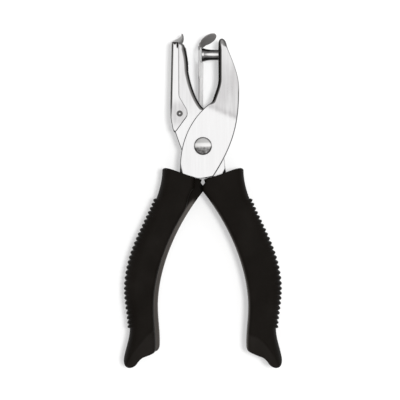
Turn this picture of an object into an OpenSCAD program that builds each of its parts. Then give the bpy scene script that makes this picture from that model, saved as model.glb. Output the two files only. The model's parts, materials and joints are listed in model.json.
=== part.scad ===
// Single-hole punch pliers, lying flat. Two folded steel levers turn on one rivet: the punch
// lever makes the right jaw and the left handle, the die lever nests inside it and makes the
// left jaw and the right handle. A stripper leaf hangs on the rivet between punch and die.
// Sizes are in millimetres. The jaws point along +Y and the front faces +Z.

/* [Head] */
// Height of the punch axis above the pivot
punch_v = 41.5; // [38:0.5:45]
// How far the punch jaw reaches past the punch axis
jaw_over = 6.8; // [6:0.1:9]
// Inner face of the punch wall, measured from the pivot
wall_u = 6.95; // [6:0.05:8]
// Outer depth of the punch lever
head_depth = 15; // [14:0.5:16]
// Thickness of the lever sheet
sheet = 1.2; // [1:0.05:1.4]
// Gap between the nested levers on each side
nest_gap = 0.15; // [0.1:0.05:0.3]

/* [Punch and die] */
// Diameter of the cutting end, the size of the hole it makes
punch_d = 6; // [5:0.1:6.5]
// Diameter of the necked shank
shank_d = 4.7; // [3.5:0.1:5]
// Reach of the punch from its wall to the cutting edge
punch_reach = 7.55; // [7:0.05:8]
// Squeeze angle at which the cutting edge meets the die
cut_angle = 9; // [8:0.1:9.5]
// Outer diameter of the die bush
die_od = 9; // [8.6:0.1:9.4]
// How far the die bush stands proud of its wall
die_proud = 0.5; // [0.2:0.1:0.8]
// Clearance between punch and die hole, per side
die_gap = 0.25; // [0.2:0.05:0.4]

/* [Stripper leaf] */
// Thickness of the spring strip
leaf_t = 0.5; // [0.3:0.05:0.6]
// Width of the strip at the punch
leaf_head_w = 8.4; // [8:0.1:9]
// Width of the strip below the punch
leaf_neck_w = 7.4; // [6:0.1:7.8]
// Place of the strip, measured from the pivot
leaf_u = -0.9; // [-1.1:0.05:-0.7]
// Twist of the strip about its length
leaf_twist = 13; // [6:1:15]
// Radius of the oval tongue
tongue_r = 4; // [3:0.1:4.4]
// Fold of the tongue away from the strip
tongue_fold = 58; // [50:1:65]
// Slant of the fold line across the strip
tongue_slant = 19; // [10:1:24]

/* [Chip catcher] */
// Thickness of the catcher sheet
catch_sheet = 0.7; // [0.5:0.05:0.8]
// Back of the catcher at its foot, measured from the pivot
catch_back = -14.6; // [-15.4:0.1:-14.3]
// Diameter of the catcher rivets
catch_rivet_d = 1.8; // [1.5:0.1:2.2]
// Width of the catcher flank beside its back
flank_w = 3.8; // [3:0.1:4.5]

/* [Pivot] */
// Diameter of the rivet shank
pivot_d = 5; // [4:0.1:5.4]
// Diameter of the rivet's front head
rivet_head_d = 8; // [7:0.1:9]
// Height of the rivet heads
rivet_head_h = 1.3; // [0.8:0.1:1.4]
// Outer diameter of the sleeve on the rivet
bush_d = 7; // [6.6:0.1:7.2]

/* [Return spring] */
// Wire diameter
wire_d = 1.1; // [0.8:0.1:1.2]
// Mean diameter of the coil
coil_d = 9.2; // [8.8:0.1:9.8]
// Axial step of one turn
coil_pitch = 1.65; // [1.6:0.05:1.7]

/* [Grips] */
// Spread of the handles, the width of the pliers over their toes
handle_spread = 71.6; // [68:0.2:76]
// Reach of the handles, from the pivot down to the toes
handle_reach = 99.6; // [95:0.2:104]
// Depth of the grips, the height of the pliers as they lie
grip_depth = 18; // [17.5:0.5:20]
// Half the gap between the grips where their tops meet
grip_meet = 0.2; // [0.2:0.05:0.4]
// Number of ribs on the back of a grip
rib_count = 28; // [20:1:30]
// Height of the ribs
rib_h = 0.9; // [0.5:0.1:1]
// Depth of the lap step where the grips pass each other
lap_w = 3.7; // [3.6:0.1:4]
// Width of the ledge that runs from the lap step down to the foot
ledge_w = 1.7; // [1:0.1:2.2]
// How far the toe hangs below the foot
toe_drop = 3.1; // [2:0.1:3.6]
// Length of the tang inside a grip, as a share of the grip's length
tang_end = 0.5; // [0.4:0.02:0.6]

/* [Hidden] */
$fn = 48;

// Clearances: a fixed seat, a running fit, and two parts that pass each other
seat_gap = 0.02;
run_gap = 0.05;
pass_gap = 0.1;
// How far a cut runs past the faces it opens
over = 1;

steel = [0.86, 0.86, 0.87];
dark_steel = [0.55, 0.55, 0.56];
black = [0.09, 0.085, 0.08];

// Depths, measured from the mid plane of the pliers
punch_out = head_depth / 2;
punch_in = punch_out - sheet;
die_out = punch_in - nest_gap;
die_in = die_out - sheet;
catch_in = die_out + pass_gap;
catch_out = catch_in + catch_sheet;
half = grip_depth / 2;

function turn(p, a) = [p[0] * cos(a) - p[1] * sin(a), p[0] * sin(a) + p[1] * cos(a)];
function flip(p) = [-p[0], p[1]];
function flips(line) = [for (p = line) flip(p)];
function back(line) = [for (i = [len(line) - 1:-1:0]) line[i]];
function mix(a, b, t) = a + (b - a) * t;
function smooth(t) = let (c = min(max(t, 0), 1)) c * c * (3 - 2 * c);
function bez(p, t) = let (s = 1 - t)
    s * s * s * p[0] + 3 * s * s * t * p[1] + 3 * s * t * t * p[2] + t * t * t * p[3];
function curve(p, n = 12) = [for (i = [0:n]) bez(p, i / n)];
function side(line, i) = let (d = line[min(i + 1, len(line) - 1)] - line[max(i - 1, 0)])
    [-d[1], d[0]] / norm(d);
// A strip of sheet of thickness t, to the left of the line it follows
function ribbon(line, t) =
    concat(line, [for (i = [len(line) - 1:-1:0]) line[i] + t * side(line, i)]);

// Grip outline: inner and outer edge of the right grip, from its top to its foot. Their points
// are shares of half the spread and of the reach
function grip_at(x, y) = [x * handle_spread / 2, -y * handle_reach];
meet = grip_at(0, 0.201) + [grip_meet, 0];
inner_top = grip_at(0.02, 0.154) + [grip_meet, 0];
inner_waist = grip_at(0.573, 0.731);
inner_foot = grip_at(0.553, 0.922);
outer_top = grip_at(0.511, 0.103);
outer_belly = grip_at(0.961, 0.633);
outer_waist = grip_at(0.922, 0.843);
outer_foot = grip_at(0.999, 0.974);
inner_bow = [meet, grip_at(0.413, 0.39), grip_at(0.578, 0.596), inner_waist];
inner_flare = [inner_waist, grip_at(0.573, 0.793), grip_at(0.536, 0.864), inner_foot];
outer_bow = [outer_top, grip_at(0.497, 0.271), grip_at(0.939, 0.412), outer_belly];
outer_neck = [outer_belly, grip_at(0.969, 0.703), grip_at(0.902, 0.788), outer_waist];
outer_flare = [outer_waist, grip_at(0.933, 0.884), grip_at(0.992, 0.934), outer_foot];
// Shares of the grip's length at which one curve hands over to the next
meet_t = 0.06;
inner_waist_t = 0.78;
belly_t = 0.62;
outer_waist_t = 0.86;
foot_t = 0.85;
top_t = 0.15;
// The top bows up, the foot bows down a little, and the toe hangs below it as a round lobe
top_bulge = 1.2;
foot_bulge = 0.7;
toe_at = 0.78;
toe_half = 1 - toe_at;

function share(t, from, to) = min(max((t - from) / (to - from), 0), 1);
function inner_edge(t) =
    t < meet_t ? mix(inner_top, meet, t / meet_t)
    : t < inner_waist_t ? bez(inner_bow, share(t, meet_t, inner_waist_t))
    : bez(inner_flare, share(t, inner_waist_t, 1));
function outer_edge(t) =
    t < belly_t ? bez(outer_bow, share(t, 0, belly_t))
    : t < outer_waist_t ? bez(outer_neck, share(t, belly_t, outer_waist_t))
    : bez(outer_flare, share(t, outer_waist_t, 1));
function hump(p) = let (q = share(p, 0, 1)) 4 * q * (1 - q);
function toe(p) = sqrt(max(1 - pow((share(p, 0, 1) - toe_at) / toe_half, 2), 0));
// A point across the grip, a millimetres out from its inner edge
function across(t, a) = let (i = inner_edge(t), o = outer_edge(t), w = norm(o - i), p = a / w)
    mix(i, o, p) + [0, top_bulge * (1 - smooth(t / top_t)) * hump(p)
        - smooth(share(t, foot_t, 1)) * (foot_bulge * hump(p) + toe_drop * toe(p))];
function grip_w(t) = norm(outer_edge(t) - inner_edge(t));

// Tangs lie inside the grips between two shares of the grip's width
tang_near = 0.31;
tang_far = 0.57;
tang_steps = 10;
function tang_point(t, share) = across(t, share * grip_w(t));
tang_outer = [for (i = [0:tang_steps]) tang_point(tang_end * i / tang_steps, tang_far)];
tang_inner = [for (i = [0:tang_steps]) tang_point(tang_end * i / tang_steps, tang_near)];

// Punch lever outline
wall_top = punch_v + punch_d / 2 + 1.6;
jaw_top = punch_v + jaw_over;
wall_bend = punch_v - 11;
wall_foot = [wall_u - 2.85, 19.8];
punch_belly = [16.2, punch_v - 15.5];
shoulder = [wall_u + 3.85, punch_v + 3];
heel = [4.4, -12.6];
hip = [-10.2, -8.6];
wall_line = concat([[wall_u, wall_top]],
    curve([[wall_u, wall_bend], [wall_u + 0.25, wall_bend - 3], [wall_u - 1.75, wall_bend - 7],
        wall_foot], 8));
jaw_crown = curve([[wall_u, wall_top], [wall_u + 0.05, jaw_top + 1.2],
    [shoulder[0] - 0.4, jaw_top + 0.9], shoulder], 10);
punch_back = concat(
    curve([shoulder, [13.2, punch_v - 3], [16.2, punch_v - 9.5], punch_belly]),
    curve([punch_belly, [16.3, 11], [14.2, 1], heel]));
punch_arc = curve([hip, [-9.8, 5], [-3.5, 14.5], wall_foot]);
punch_tang_web = concat([hip], flips(tang_outer));
punch_bottom = [[1, -13.4], [-2.2, -14.2], flip(tang_inner[0]) + [0, 0.4]];

// Die lever outline
punch_tip = [wall_u - punch_reach, punch_v];
die_face = turn(punch_tip, cut_angle);
die_wall_mid = die_face - die_proud * turn([1, 0], cut_angle);
die_wall_up = turn([0, 1], cut_angle);
die_wall_top = die_wall_mid + (die_od / 2 + 0.2) * die_wall_up;
die_wall_foot = die_wall_mid - (die_od / 2 + 2.4) * die_wall_up;
die_back = catch_back + catch_sheet + pass_gap + 0.7;
die_nose = [die_wall_top[0] - 1.6, die_wall_top[1] + 1.5];
throat_foot = [0.85, 16.6];
die_hip = [9.9, -8.6];
die_crown = curve([[die_back, die_nose[1] - 0.4], mix([die_back, die_nose[1]], die_nose, 0.7),
    die_nose, die_wall_top], 6);
die_web_line = concat([die_wall_top], curve([die_wall_foot, die_wall_foot - 3 * die_wall_up,
    [-4, 21], throat_foot]));
die_arc = curve([throat_foot, [6.5, 12], [9.4, 4], die_hip]);
die_tang_web = concat([die_hip], tang_outer);
die_bottom = [tang_inner[0] + [0, 0.4], [2.2, -14.2], [-1, -13.4]];
die_rear = curve([[-4.4, -12.6], [-7, -8], [-9.5, -2.5], [-12.1, 5.2]], 8);
slot_top = die_wall_foot[1] - 0.5;
slot_half = leaf_neck_w / 2 + 0.45;

// Chip catcher outline
catch_pivot = [catch_back + 4.2, 14.6];
catch_top = die_nose[1] - 0.2;
catch_lean = 0.6;
catch_foot_v = 17.9;
catch_wall_top = [catch_back + catch_lean, catch_top];
catch_wall_foot = [catch_back, catch_foot_v];
flank_u = catch_back + flank_w;
flank = [catch_wall_top, [flank_u, catch_top], [flank_u + 0.1, 22.4], catch_pivot + [3.4, 1.6],
    catch_pivot + [3.55, -0.8], catch_pivot + [-1.9, -8.4], catch_pivot + [-3, -7.6],
    catch_pivot + [-4.1, -2], catch_wall_foot];
catch_lip = curve([catch_wall_top, catch_wall_top + [0.7, 2.4], catch_wall_top + [3.6, 1.2],
    catch_wall_top + [4.3, 4.2]], 10);
lip_half = die_out - 1;

// Stripper leaf, in its own axes: x through the strip, y along it, from the middle of its hole
leaf_hole_d = (punch_d + 2 * die_gap) / cos(leaf_twist) + 0.1;
fold_y = leaf_hole_d / 2 + 0.8;
leaf_split = fold_y + 6;
eye_w = 2.2;
eye_r = bush_d / 2 + run_gap + leaf_t + 0.4;
eye_z = -die_in + pass_gap + eye_w / 2;
tongue_d = 4.6;
stem_w = 5;
// Direction of the tongue, its face and its highest point, for the reach of the pliers
fold_axis = [0, sin(tongue_slant), cos(tongue_slant)];
tongue_n = [cos(tongue_fold), -sin(tongue_fold) * cos(tongue_slant)];
tongue_up = cos(tongue_fold) * cos(tongue_slant) * cos(tongue_slant)
    + sin(tongue_slant) * sin(tongue_slant);
reach_up = punch_v + fold_y + tongue_d * tongue_up + tongue_r * sqrt(1 - pow(tongue_n[1], 2))
    + leaf_t / 2;

// Return spring: the legs touch the webs of both tangs, the coil ends follow from them
spring_low = eye_z + eye_w / 2 + pass_gap + wire_d / 2;
leg_share = 0.2;
leg_step = round(leg_share * tang_steps);
leg_seat = sheet + wire_d / 2 + 0.4;
function leg_end(line) = line[leg_step] + leg_seat * (flip(line[leg_step]) - line[leg_step])
    / norm(flip(line[leg_step]) - line[leg_step]);
right_leg = leg_end(tang_outer);
left_leg = flip(right_leg);
coil_r = coil_d / 2;
leg_swing = acos(coil_r / norm(right_leg));
leg_aim = atan2(right_leg[1], right_leg[0]);
coil_from = leg_aim + leg_swing;
coil_turns = 2;
coil_to = 180 - leg_aim - leg_swing + 360 * coil_turns;
coil_steps = 54;
function coil_z(a) = spring_low + coil_pitch * (a - coil_from) / 360;
spring_path = concat([[right_leg[0], right_leg[1], coil_z(coil_from)]],
    [for (i = [0:coil_steps]) let (a = mix(coil_from, coil_to, i / coil_steps))
        [coil_r * cos(a), coil_r * sin(a), coil_z(a)]],
    [[left_leg[0], left_leg[1], coil_z(coil_to)]]);
half_turn = ceil(coil_steps * 180 / (coil_to - coil_from));
spring_gap = min([for (i = [1:coil_steps + 1]) for (j = [i + half_turn:1:coil_steps + 1])
    norm(spring_path[i] - spring_path[j])]) - wire_d;
echo(spring_least_gap = spring_gap);

// Grip rings, listed up the outside from foot to top and then down the tang pocket
corner_in = 2;
corner_out = 4.5;
corner_steps = 4;
end_round = 1.2;
rib_from = 0.17;
rib_to = 0.82;
lap_gap = 0.15;
pocket_gap = 0.15;
// Places along the flat of a face, closer together where the toe begins
face_steps = [0.55, 0.78, 0.92];
half_ring = 2 * (corner_steps + 1) + len(face_steps);

function arc_points(c, r, from) =
    [for (i = [0:corner_steps]) c + r * [cos(from - 90 * i / corner_steps),
        sin(from - 90 * i / corner_steps)]];
// One section of a grip as pairs of distance from the inner edge and depth: two points on the
// ledge, the front face, the rear face and two points on the rear of the inner side
function section(w, lap, inset, rib) = let (h = half - inset, o = w - inset, l = lap + inset)
    concat([[l, lap_gap], [inset, lap_gap]],
        arc_points([inset + corner_in, h - corner_in], corner_in, 180),
        [for (k = face_steps) [mix(inset + corner_in, o - corner_out, k), h]],
        ribbed(arc_points([o - corner_out, h - corner_out], corner_out, 90), rib, o),
        ribbed(arc_points([o - corner_out, corner_out - h], corner_out, 0), rib, o),
        [for (k = back(face_steps)) [mix(l + corner_in, o - corner_out, k), -h]],
        arc_points([l + corner_in, corner_in - h], corner_in, 270),
        [for (k = [2, 1]) [l, k * (corner_in - h) / 3]]);
function ribbed(points, rib, o) =
    [for (p = points) p + [rib * smooth((p[0] - o + corner_out) / corner_out), 0]];
// The pocket has as many points as a section, laid out in the same order, with a bowed near side
pocket_bow = 0.1;
function pocket_section(t, deep) = let (w = grip_w(t), a = tang_near * w - pocket_gap,
        b = tang_far * w + pocket_gap, h = deep + pocket_gap, n = half_ring - 1)
    concat([[a - pocket_bow, 0], [a - pocket_bow / 2, h / 2]],
        [for (i = [0:n]) [mix(a, b, i / n), h]],
        [for (i = [0:n]) [mix(b, a, i / n), -h]],
        [for (k = [2, 1]) [a - pocket_bow / k, -k * h / 3]]);
lap_end = 0.18;
function lap_at(t) = mix(lap_w, ledge_w, smooth(share(t, meet_t, lap_end)));
function place(t, points) = [for (p = points) let (q = across(t, p[0])) [q[0], q[1], p[1]]];
// Stations along a grip: its share of the length, its inset at the rounded ends, its rib
rib_step = (rib_to - rib_from) / rib_count;
stations = concat([[1, end_round, 0], [0.985, 0, 0], [0.95, 0, 0], [0.91, 0, 0], [0.87, 0, 0],
        [0.84, 0, 0]],
    [for (i = [rib_count - 1:-1:0]) each [for (k = [[1, 0], [0.7, rib_h], [0.3, rib_h]])
        [rib_from + (i + k[0]) * rib_step, 0, k[1]]]],
    [[rib_from, 0, 0], [0.14, 0, 0], [0.11, 0, 0], [0.08, 0, 0], [0.06, 0, 0], [0.03, 0, 0],
        [0.01, 0, 0], [0, end_round / 2, 0]]);
outside = [for (s = stations) place(s[0], section(grip_w(s[0]), lap_at(s[0]), s[1], s[2]))];
function pocket(deep) = [for (t = concat([for (i = [0:tang_steps]) tang_end * i / tang_steps],
    [tang_end + 0.005])) place(t, pocket_section(t, deep))];
reach_down = -min([for (ring = outside) for (p = ring) p[1]]);
pivot_y = (reach_down - reach_up) / 2;

// A closed skin through a list of rings, each end closed by strips from its front to its rear
module skin(rings) {
    n = len(rings[0]);
    last = (len(rings) - 1) * n;
    points = [for (ring = rings) each ring];
    walls = [for (i = [0:len(rings) - 2]) for (j = [0:n - 1]) let (a = i * n + j,
        b = i * n + (j + 1) % n) each [[a, b + n, b], [a, a + n, b + n]]];
    foot = [for (j = [0:n / 2 - 2]) each [[j, j + 1, n - 1 - j], [j + 1, n - 2 - j, n - 1 - j]]];
    top = [for (f = foot) [for (k = back(f)) k + last]];
    polyhedron(points, concat(walls, foot, top), convexity = 8);
}

// A tube of round wire along a path that lies mostly in turns about Z
wire_sides = 6;
module wire(path, d) {
    rings = [for (i = [0:len(path) - 1])
        let (t = path[min(i + 1, len(path) - 1)] - path[max(i - 1, 0)],
            x = cross(t, [0, 0, 1]) / norm(cross(t, [0, 0, 1])), y = cross(t, x) / norm(t))
        [for (k = [0:wire_sides - 1]) path[i] + d / 2 * (cos(360 * k / wire_sides) * x
            + sin(360 * k / wire_sides) * y)]];
    n = wire_sides;
    last = len(path) * n;
    points = concat([for (ring = rings) each ring], [path[0], path[len(path) - 1]]);
    walls = [for (i = [0:len(path) - 2]) for (j = [0:n - 1]) let (a = i * n + j,
        b = i * n + (j + 1) % n) each [[a, b + n, b], [a, a + n, b + n]]];
    foot = [for (j = [0:n - 1]) [j, (j + 1) % n, last]];
    top = [for (j = [0:n - 1]) [last - n + (j + 1) % n, last - n + j, last + 1]];
    polyhedron(points, concat(walls, foot, top), convexity = 4);
}

// The pivot stands above the middle of the whole outline, and the grips lie on the ground
module at_pivot() {
    translate([0, pivot_y, half]) children();
}

// A slab between two depths, on the front and again on the rear
module flanks(low, high) {
    for (z = [low, -high]) translate([0, 0, z]) linear_extrude(high - low) children();
}

module through(low, high) {
    translate([0, 0, low]) linear_extrude(high - low) children();
}

module punch_axis() {
    translate([wall_u, punch_v, 0]) rotate([0, -90, 0]) children();
}

module die_axis() {
    translate([die_face[0], die_face[1], 0]) rotate([0, 0, cut_angle]) rotate([0, -90, 0])
        children();
}

module punch_lever() {
    color(steel) at_pivot() difference() {
        union() {
            flanks(punch_in, punch_out) polygon(concat(jaw_crown, punch_back, punch_bottom,
                flips(tang_inner), back(flips(tang_outer)), punch_arc, back(wall_line)));
            through(-punch_out, punch_out) polygon(ribbon(wall_line, sheet));
            through(-punch_out, punch_out) polygon(ribbon(punch_tang_web, sheet));
        }
        cylinder(d = pivot_d + 2 * seat_gap, h = head_depth + 2 * over, center = true);
        punch_axis() translate([0, 0, -sheet - over]) cylinder(d = shank_d + 2 * seat_gap,
            h = sheet + 2 * over);
    }
}

module punch_pin() {
    r = punch_d / 2;
    s = shank_d / 2;
    land = 1;
    neck = 3;
    peen = 1;
    cup = 1.2;
    color(dark_steel) at_pivot() punch_axis() rotate_extrude() polygon([
        [0, -sheet - peen - seat_gap], [s + 0.3, -sheet - peen - seat_gap],
        [s + 0.9, -sheet - peen / 2], [s + 0.9, -sheet - seat_gap], [s, -sheet - seat_gap],
        [s, punch_reach - neck], [s + 0.25 * (r - s), punch_reach - neck + 0.8],
        [r, punch_reach - land], [r, punch_reach], [r - 0.4, punch_reach],
        [0, punch_reach - cup]]);
}

module die_lever() {
    color(steel) at_pivot() difference() {
        union() {
            flanks(die_in, die_out) polygon(concat(die_crown, die_web_line, die_arc,
                tang_outer, back(tang_inner), die_bottom, die_rear, [[die_back, 8]]));
            through(-die_out, die_out) polygon(ribbon(die_web_line, -sheet));
            through(-die_out, die_out) polygon(ribbon(die_tang_web, -sheet));
        }
        cylinder(d = pivot_d + 2 * run_gap, h = head_depth, center = true);
        die_axis() cylinder(d = die_od + 2 * seat_gap, h = 3 * sheet, center = true);
        translate([die_wall_foot[0] - 2 * sheet, throat_foot[1] - 2, -slot_half])
            cube([throat_foot[0] - die_wall_foot[0] + 4 * sheet, slot_top - throat_foot[1] + 2,
                2 * slot_half]);
        for (z = [1, -1]) translate([catch_pivot[0], catch_pivot[1], z * (die_in + die_out) / 2])
            cylinder(d = catch_rivet_d + 2 * seat_gap, h = sheet + over, center = true);
    }
}

module die_bush() {
    bore = punch_d / 2 + die_gap;
    rim = die_od / 2;
    land = 1;
    long = die_proud + sheet + 0.6;
    relief = 0.5;
    bevel = 0.3;
    color(dark_steel) at_pivot() die_axis() rotate_extrude() polygon([[bore, 0],
        [rim - bevel, 0], [rim, bevel], [rim, long], [bore + relief, long], [bore, land]]);
}

module stripper_leaf() {
    color(steel) at_pivot() difference() {
        union() {
            translate([leaf_u, punch_v, 0]) rotate([0, -leaf_twist, 0]) difference() {
                leaf_blade();
                rotate([0, 90, 0]) cylinder(d = leaf_hole_d, h = 4 * leaf_t, center = true);
            }
            translate([0, 0, eye_z]) cylinder(r = eye_r, h = eye_w, center = true);
        }
        cylinder(d = bush_d + 2 * run_gap, h = head_depth, center = true);
    }
}

module leaf_blade() {
    neck = leaf_neck_w / 2;
    head = leaf_head_w / 2;
    taper = punch_v - coil_r - wire_d - 4;
    foot = punch_v - bush_d / 2 - 0.4;
    translate([-leaf_t / 2, 0, 0]) rotate([0, 90, 0]) linear_extrude(leaf_t) polygon([
        [-head, fold_y], [head, fold_y], [head, -leaf_split], [neck, -leaf_split - 1.5],
        [neck, -taper], [-eye_z + eye_w / 2, -taper - 2], [-eye_z + eye_w / 2, -foot],
        [-eye_z - eye_w / 2, -foot], [-eye_z - eye_w / 2, -taper - 2], [-neck, -taper],
        [-neck, -leaf_split - 1.5], [-head, -leaf_split]]);
    translate([0, fold_y, 0]) rotate(a = -tongue_fold, v = fold_axis) rotate([0, 90, 0]) {
        translate([-stem_w / 2, -leaf_t, -leaf_t / 2]) cube([stem_w, tongue_d, leaf_t]);
        translate([0, tongue_d, -leaf_t / 2]) cylinder(r = tongue_r, h = leaf_t);
    }
}

module chip_catcher() {
    color(steel) at_pivot() difference() {
        union() {
            flanks(catch_in, catch_out) polygon(flank);
            through(-catch_out, catch_out)
                polygon(ribbon([catch_wall_foot, catch_wall_top], -catch_sheet));
            through(-lip_half, lip_half) polygon(ribbon(catch_lip, -catch_sheet));
        }
        translate([catch_pivot[0], catch_pivot[1], 0])
            cylinder(d = catch_rivet_d + 2 * run_gap, h = head_depth + 2 * over, center = true);
    }
}

module catcher_rivets() {
    s = catch_rivet_d / 2;
    head = s + 0.5;
    rise = 0.45;
    bore = s * 0.45;
    tail = die_in - 0.5;
    color(dark_steel) at_pivot() translate([catch_pivot[0], catch_pivot[1], 0])
        for (m = [0, 1]) mirror([0, 0, m]) rotate_extrude() polygon([[bore, tail],
            [head, tail], [head, die_in - seat_gap], [s, die_in - seat_gap],
            [s, catch_out + run_gap], [head, catch_out + run_gap],
            [head - 0.15, catch_out + rise], [bore + 0.2, catch_out + rise],
            [bore, catch_out + rise - 0.2]]);
}

module pivot_rivet() {
    r = rivet_head_d / 2;
    s = pivot_d / 2;
    top = punch_out + rivet_head_h;
    rim = 0.35;
    crown = 0.25;
    foot = -punch_out - washer_t;
    peen = rivet_head_h - washer_t;
    color(dark_steel) at_pivot() rotate_extrude() polygon([[0, foot - peen],
        [s + 0.2, foot - peen], [s + 0.9, foot - peen / 2], [s + 0.9, foot - seat_gap],
        [s, foot - seat_gap], [s, punch_out + seat_gap], [r, punch_out + seat_gap],
        [r, top - rim - crown], [r - rim, top - crown], [r / 2, top - crown / 4], [0, top]]);
}

washer_t = 0.5;
module pivot_washer() {
    color(steel) at_pivot() translate([0, 0, -punch_out - washer_t]) difference() {
        cylinder(d = rivet_head_d, h = washer_t - seat_gap);
        translate([0, 0, -over]) cylinder(d = pivot_d + 2 * seat_gap, h = washer_t + 2 * over);
    }
}

module pivot_bush() {
    long = 2 * (die_in - pass_gap);
    color(dark_steel) at_pivot() difference() {
        cylinder(d = bush_d, h = long, center = true);
        cylinder(d = pivot_d + 2 * seat_gap, h = long + 2 * over, center = true);
    }
}

module return_spring() {
    color(dark_steel) at_pivot() wire(spring_path, wire_d);
}

module right_grip() {
    color(black) at_pivot() skin(concat(outside, pocket(die_out)));
}

module left_grip() {
    color(black) at_pivot() rotate([0, 180, 0]) skin(concat(outside, pocket(punch_out)));
}

punch_lever();
punch_pin();
left_grip();
die_lever();
die_bush();
right_grip();
stripper_leaf();
chip_catcher();
catcher_rivets();
pivot_rivet();
pivot_washer();
pivot_bush();
return_spring();
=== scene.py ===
# %% [markdown]
# Hole punch pliers, dressed around their solids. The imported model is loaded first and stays
# where it is: it fixes the size, the joints and the place of every piece. Each visible piece is
# then worked out again as a finer surface in the same frame, and takes the place of its solid.

# %% Load the frame
import json
import bpy
import numpy as np
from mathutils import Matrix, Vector
from mathutils.geometry import delaunay_2d_cdt


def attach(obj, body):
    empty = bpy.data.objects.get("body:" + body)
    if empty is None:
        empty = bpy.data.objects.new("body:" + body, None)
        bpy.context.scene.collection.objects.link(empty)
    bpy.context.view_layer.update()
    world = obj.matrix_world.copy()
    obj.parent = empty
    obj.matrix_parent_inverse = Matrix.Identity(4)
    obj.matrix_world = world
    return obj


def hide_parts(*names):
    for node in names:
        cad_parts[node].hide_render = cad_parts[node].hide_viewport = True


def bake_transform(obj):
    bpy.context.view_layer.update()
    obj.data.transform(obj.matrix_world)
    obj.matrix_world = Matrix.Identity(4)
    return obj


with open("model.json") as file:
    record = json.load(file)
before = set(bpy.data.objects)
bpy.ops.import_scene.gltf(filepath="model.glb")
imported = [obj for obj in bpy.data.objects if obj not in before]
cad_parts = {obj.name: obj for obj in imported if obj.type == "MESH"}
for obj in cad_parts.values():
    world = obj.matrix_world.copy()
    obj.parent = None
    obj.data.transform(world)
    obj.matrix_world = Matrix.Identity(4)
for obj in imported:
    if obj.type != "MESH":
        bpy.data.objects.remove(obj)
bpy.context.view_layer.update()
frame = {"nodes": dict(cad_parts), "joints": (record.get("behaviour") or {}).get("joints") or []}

MM = 0.001
joints = {joint["name"]: joint for joint in frame["joints"]}
PIVOT = np.array(joints["squeeze"]["pos_m"])
print("solids:", len(frame["nodes"]), "pivot at", PIVOT)

# %% [markdown]
# The pliers lie flat and are seen from straight above, so the camera hangs over them and looks
# down. A long lens keeps the sides of the grips from showing, as in a catalogue picture.

# %% Camera
IMAGE_PX = 400
MM_PER_PX = 0.45
PIVOT_PX = np.array([202.9, 146.3])
LENS_MM = 135
SENSOR_MM = 36
PLATE_HEIGHT = 4 * MM
frame_width = IMAGE_PX * MM_PER_PX * MM
distance = frame_width * LENS_MM / SENSOR_MM
middle = np.array([IMAGE_PX / 2, IMAGE_PX / 2]) - PIVOT_PX
aim = PIVOT[:2] + middle * [1, -1] * MM_PER_PX * MM


def stand(name, data):
    """Puts new data into the scene as an object."""
    made = bpy.data.objects.new(name, data)
    bpy.context.scene.collection.objects.link(made)
    return made


camera = stand("camera", bpy.data.cameras.new("camera"))
camera.data.lens = LENS_MM
camera.data.sensor_width = SENSOR_MM
camera.location = (aim[0], aim[1], PIVOT[2] + PLATE_HEIGHT + distance)
bpy.context.scene.camera = camera
print("camera", round(distance, 3), "m above the plates")

# %% [markdown]
# The pliers lie on a wide white light table, which belongs to the stage and not to the part. One
# square is enough for it: its finish, further down, does the rest.

# %% Floor
HALF_FLOOR = 3.0
bpy.context.scene.view_settings.view_transform = "Standard"
floor_corners = np.array([(-1, -1, 0), (1, -1, 0), (1, 1, 0), (-1, 1, 0)]) * HALF_FLOOR
floor_mesh = bpy.data.meshes.new("floor")
floor_mesh.from_pydata(floor_corners.tolist(), [], [(0, 1, 2, 3)])
floor = stand("floor", floor_mesh)
print("floor", 2 * HALF_FLOOR, "m wide")

# %% [markdown]
# One lamp hangs high up and a little to the right, and throws a narrow shadow to the left of each
# piece. An area lamp is chosen, because its size sets how soft the edge of a shadow is. It is
# kept out of reflections, because a lamp mirrored in plated sheet burns out.

# %% Lamp
LAMP_PLACE = Vector((0.18, 0.02, 1.2))
LAMP_SIZE, LAMP_WATTS = 0.16, 11
lamp = stand("key_right", bpy.data.lights.new("key_right", "AREA"))
lamp.data.size = LAMP_SIZE
lamp.data.energy = LAMP_WATTS
lamp.location = LAMP_PLACE
lamp.rotation_euler = (Vector(PIVOT) - LAMP_PLACE).to_track_quat("-Z", "Y").to_euler()
lamp.visible_glossy = False
print("lamp of", LAMP_WATTS, "W at a height of", round(LAMP_PLACE.z, 2), "m")

# %% [markdown]
# Materials are sums of patterns. A small class wraps a node's output, so that a pattern can be
# written as ordinary arithmetic, and one method adds any other kind of node.

# %% Patterns as sums


def fill(tree, socket, value):
    """Links a pattern to a socket, or sets the socket to a plain value. Plain colours are solid,
    so they get an alpha of 1."""
    if isinstance(value, Pattern):
        tree.links.new(value.socket, socket)
    else:
        socket.default_value = (*value, 1) if socket.type == "RGBA" else value


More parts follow.
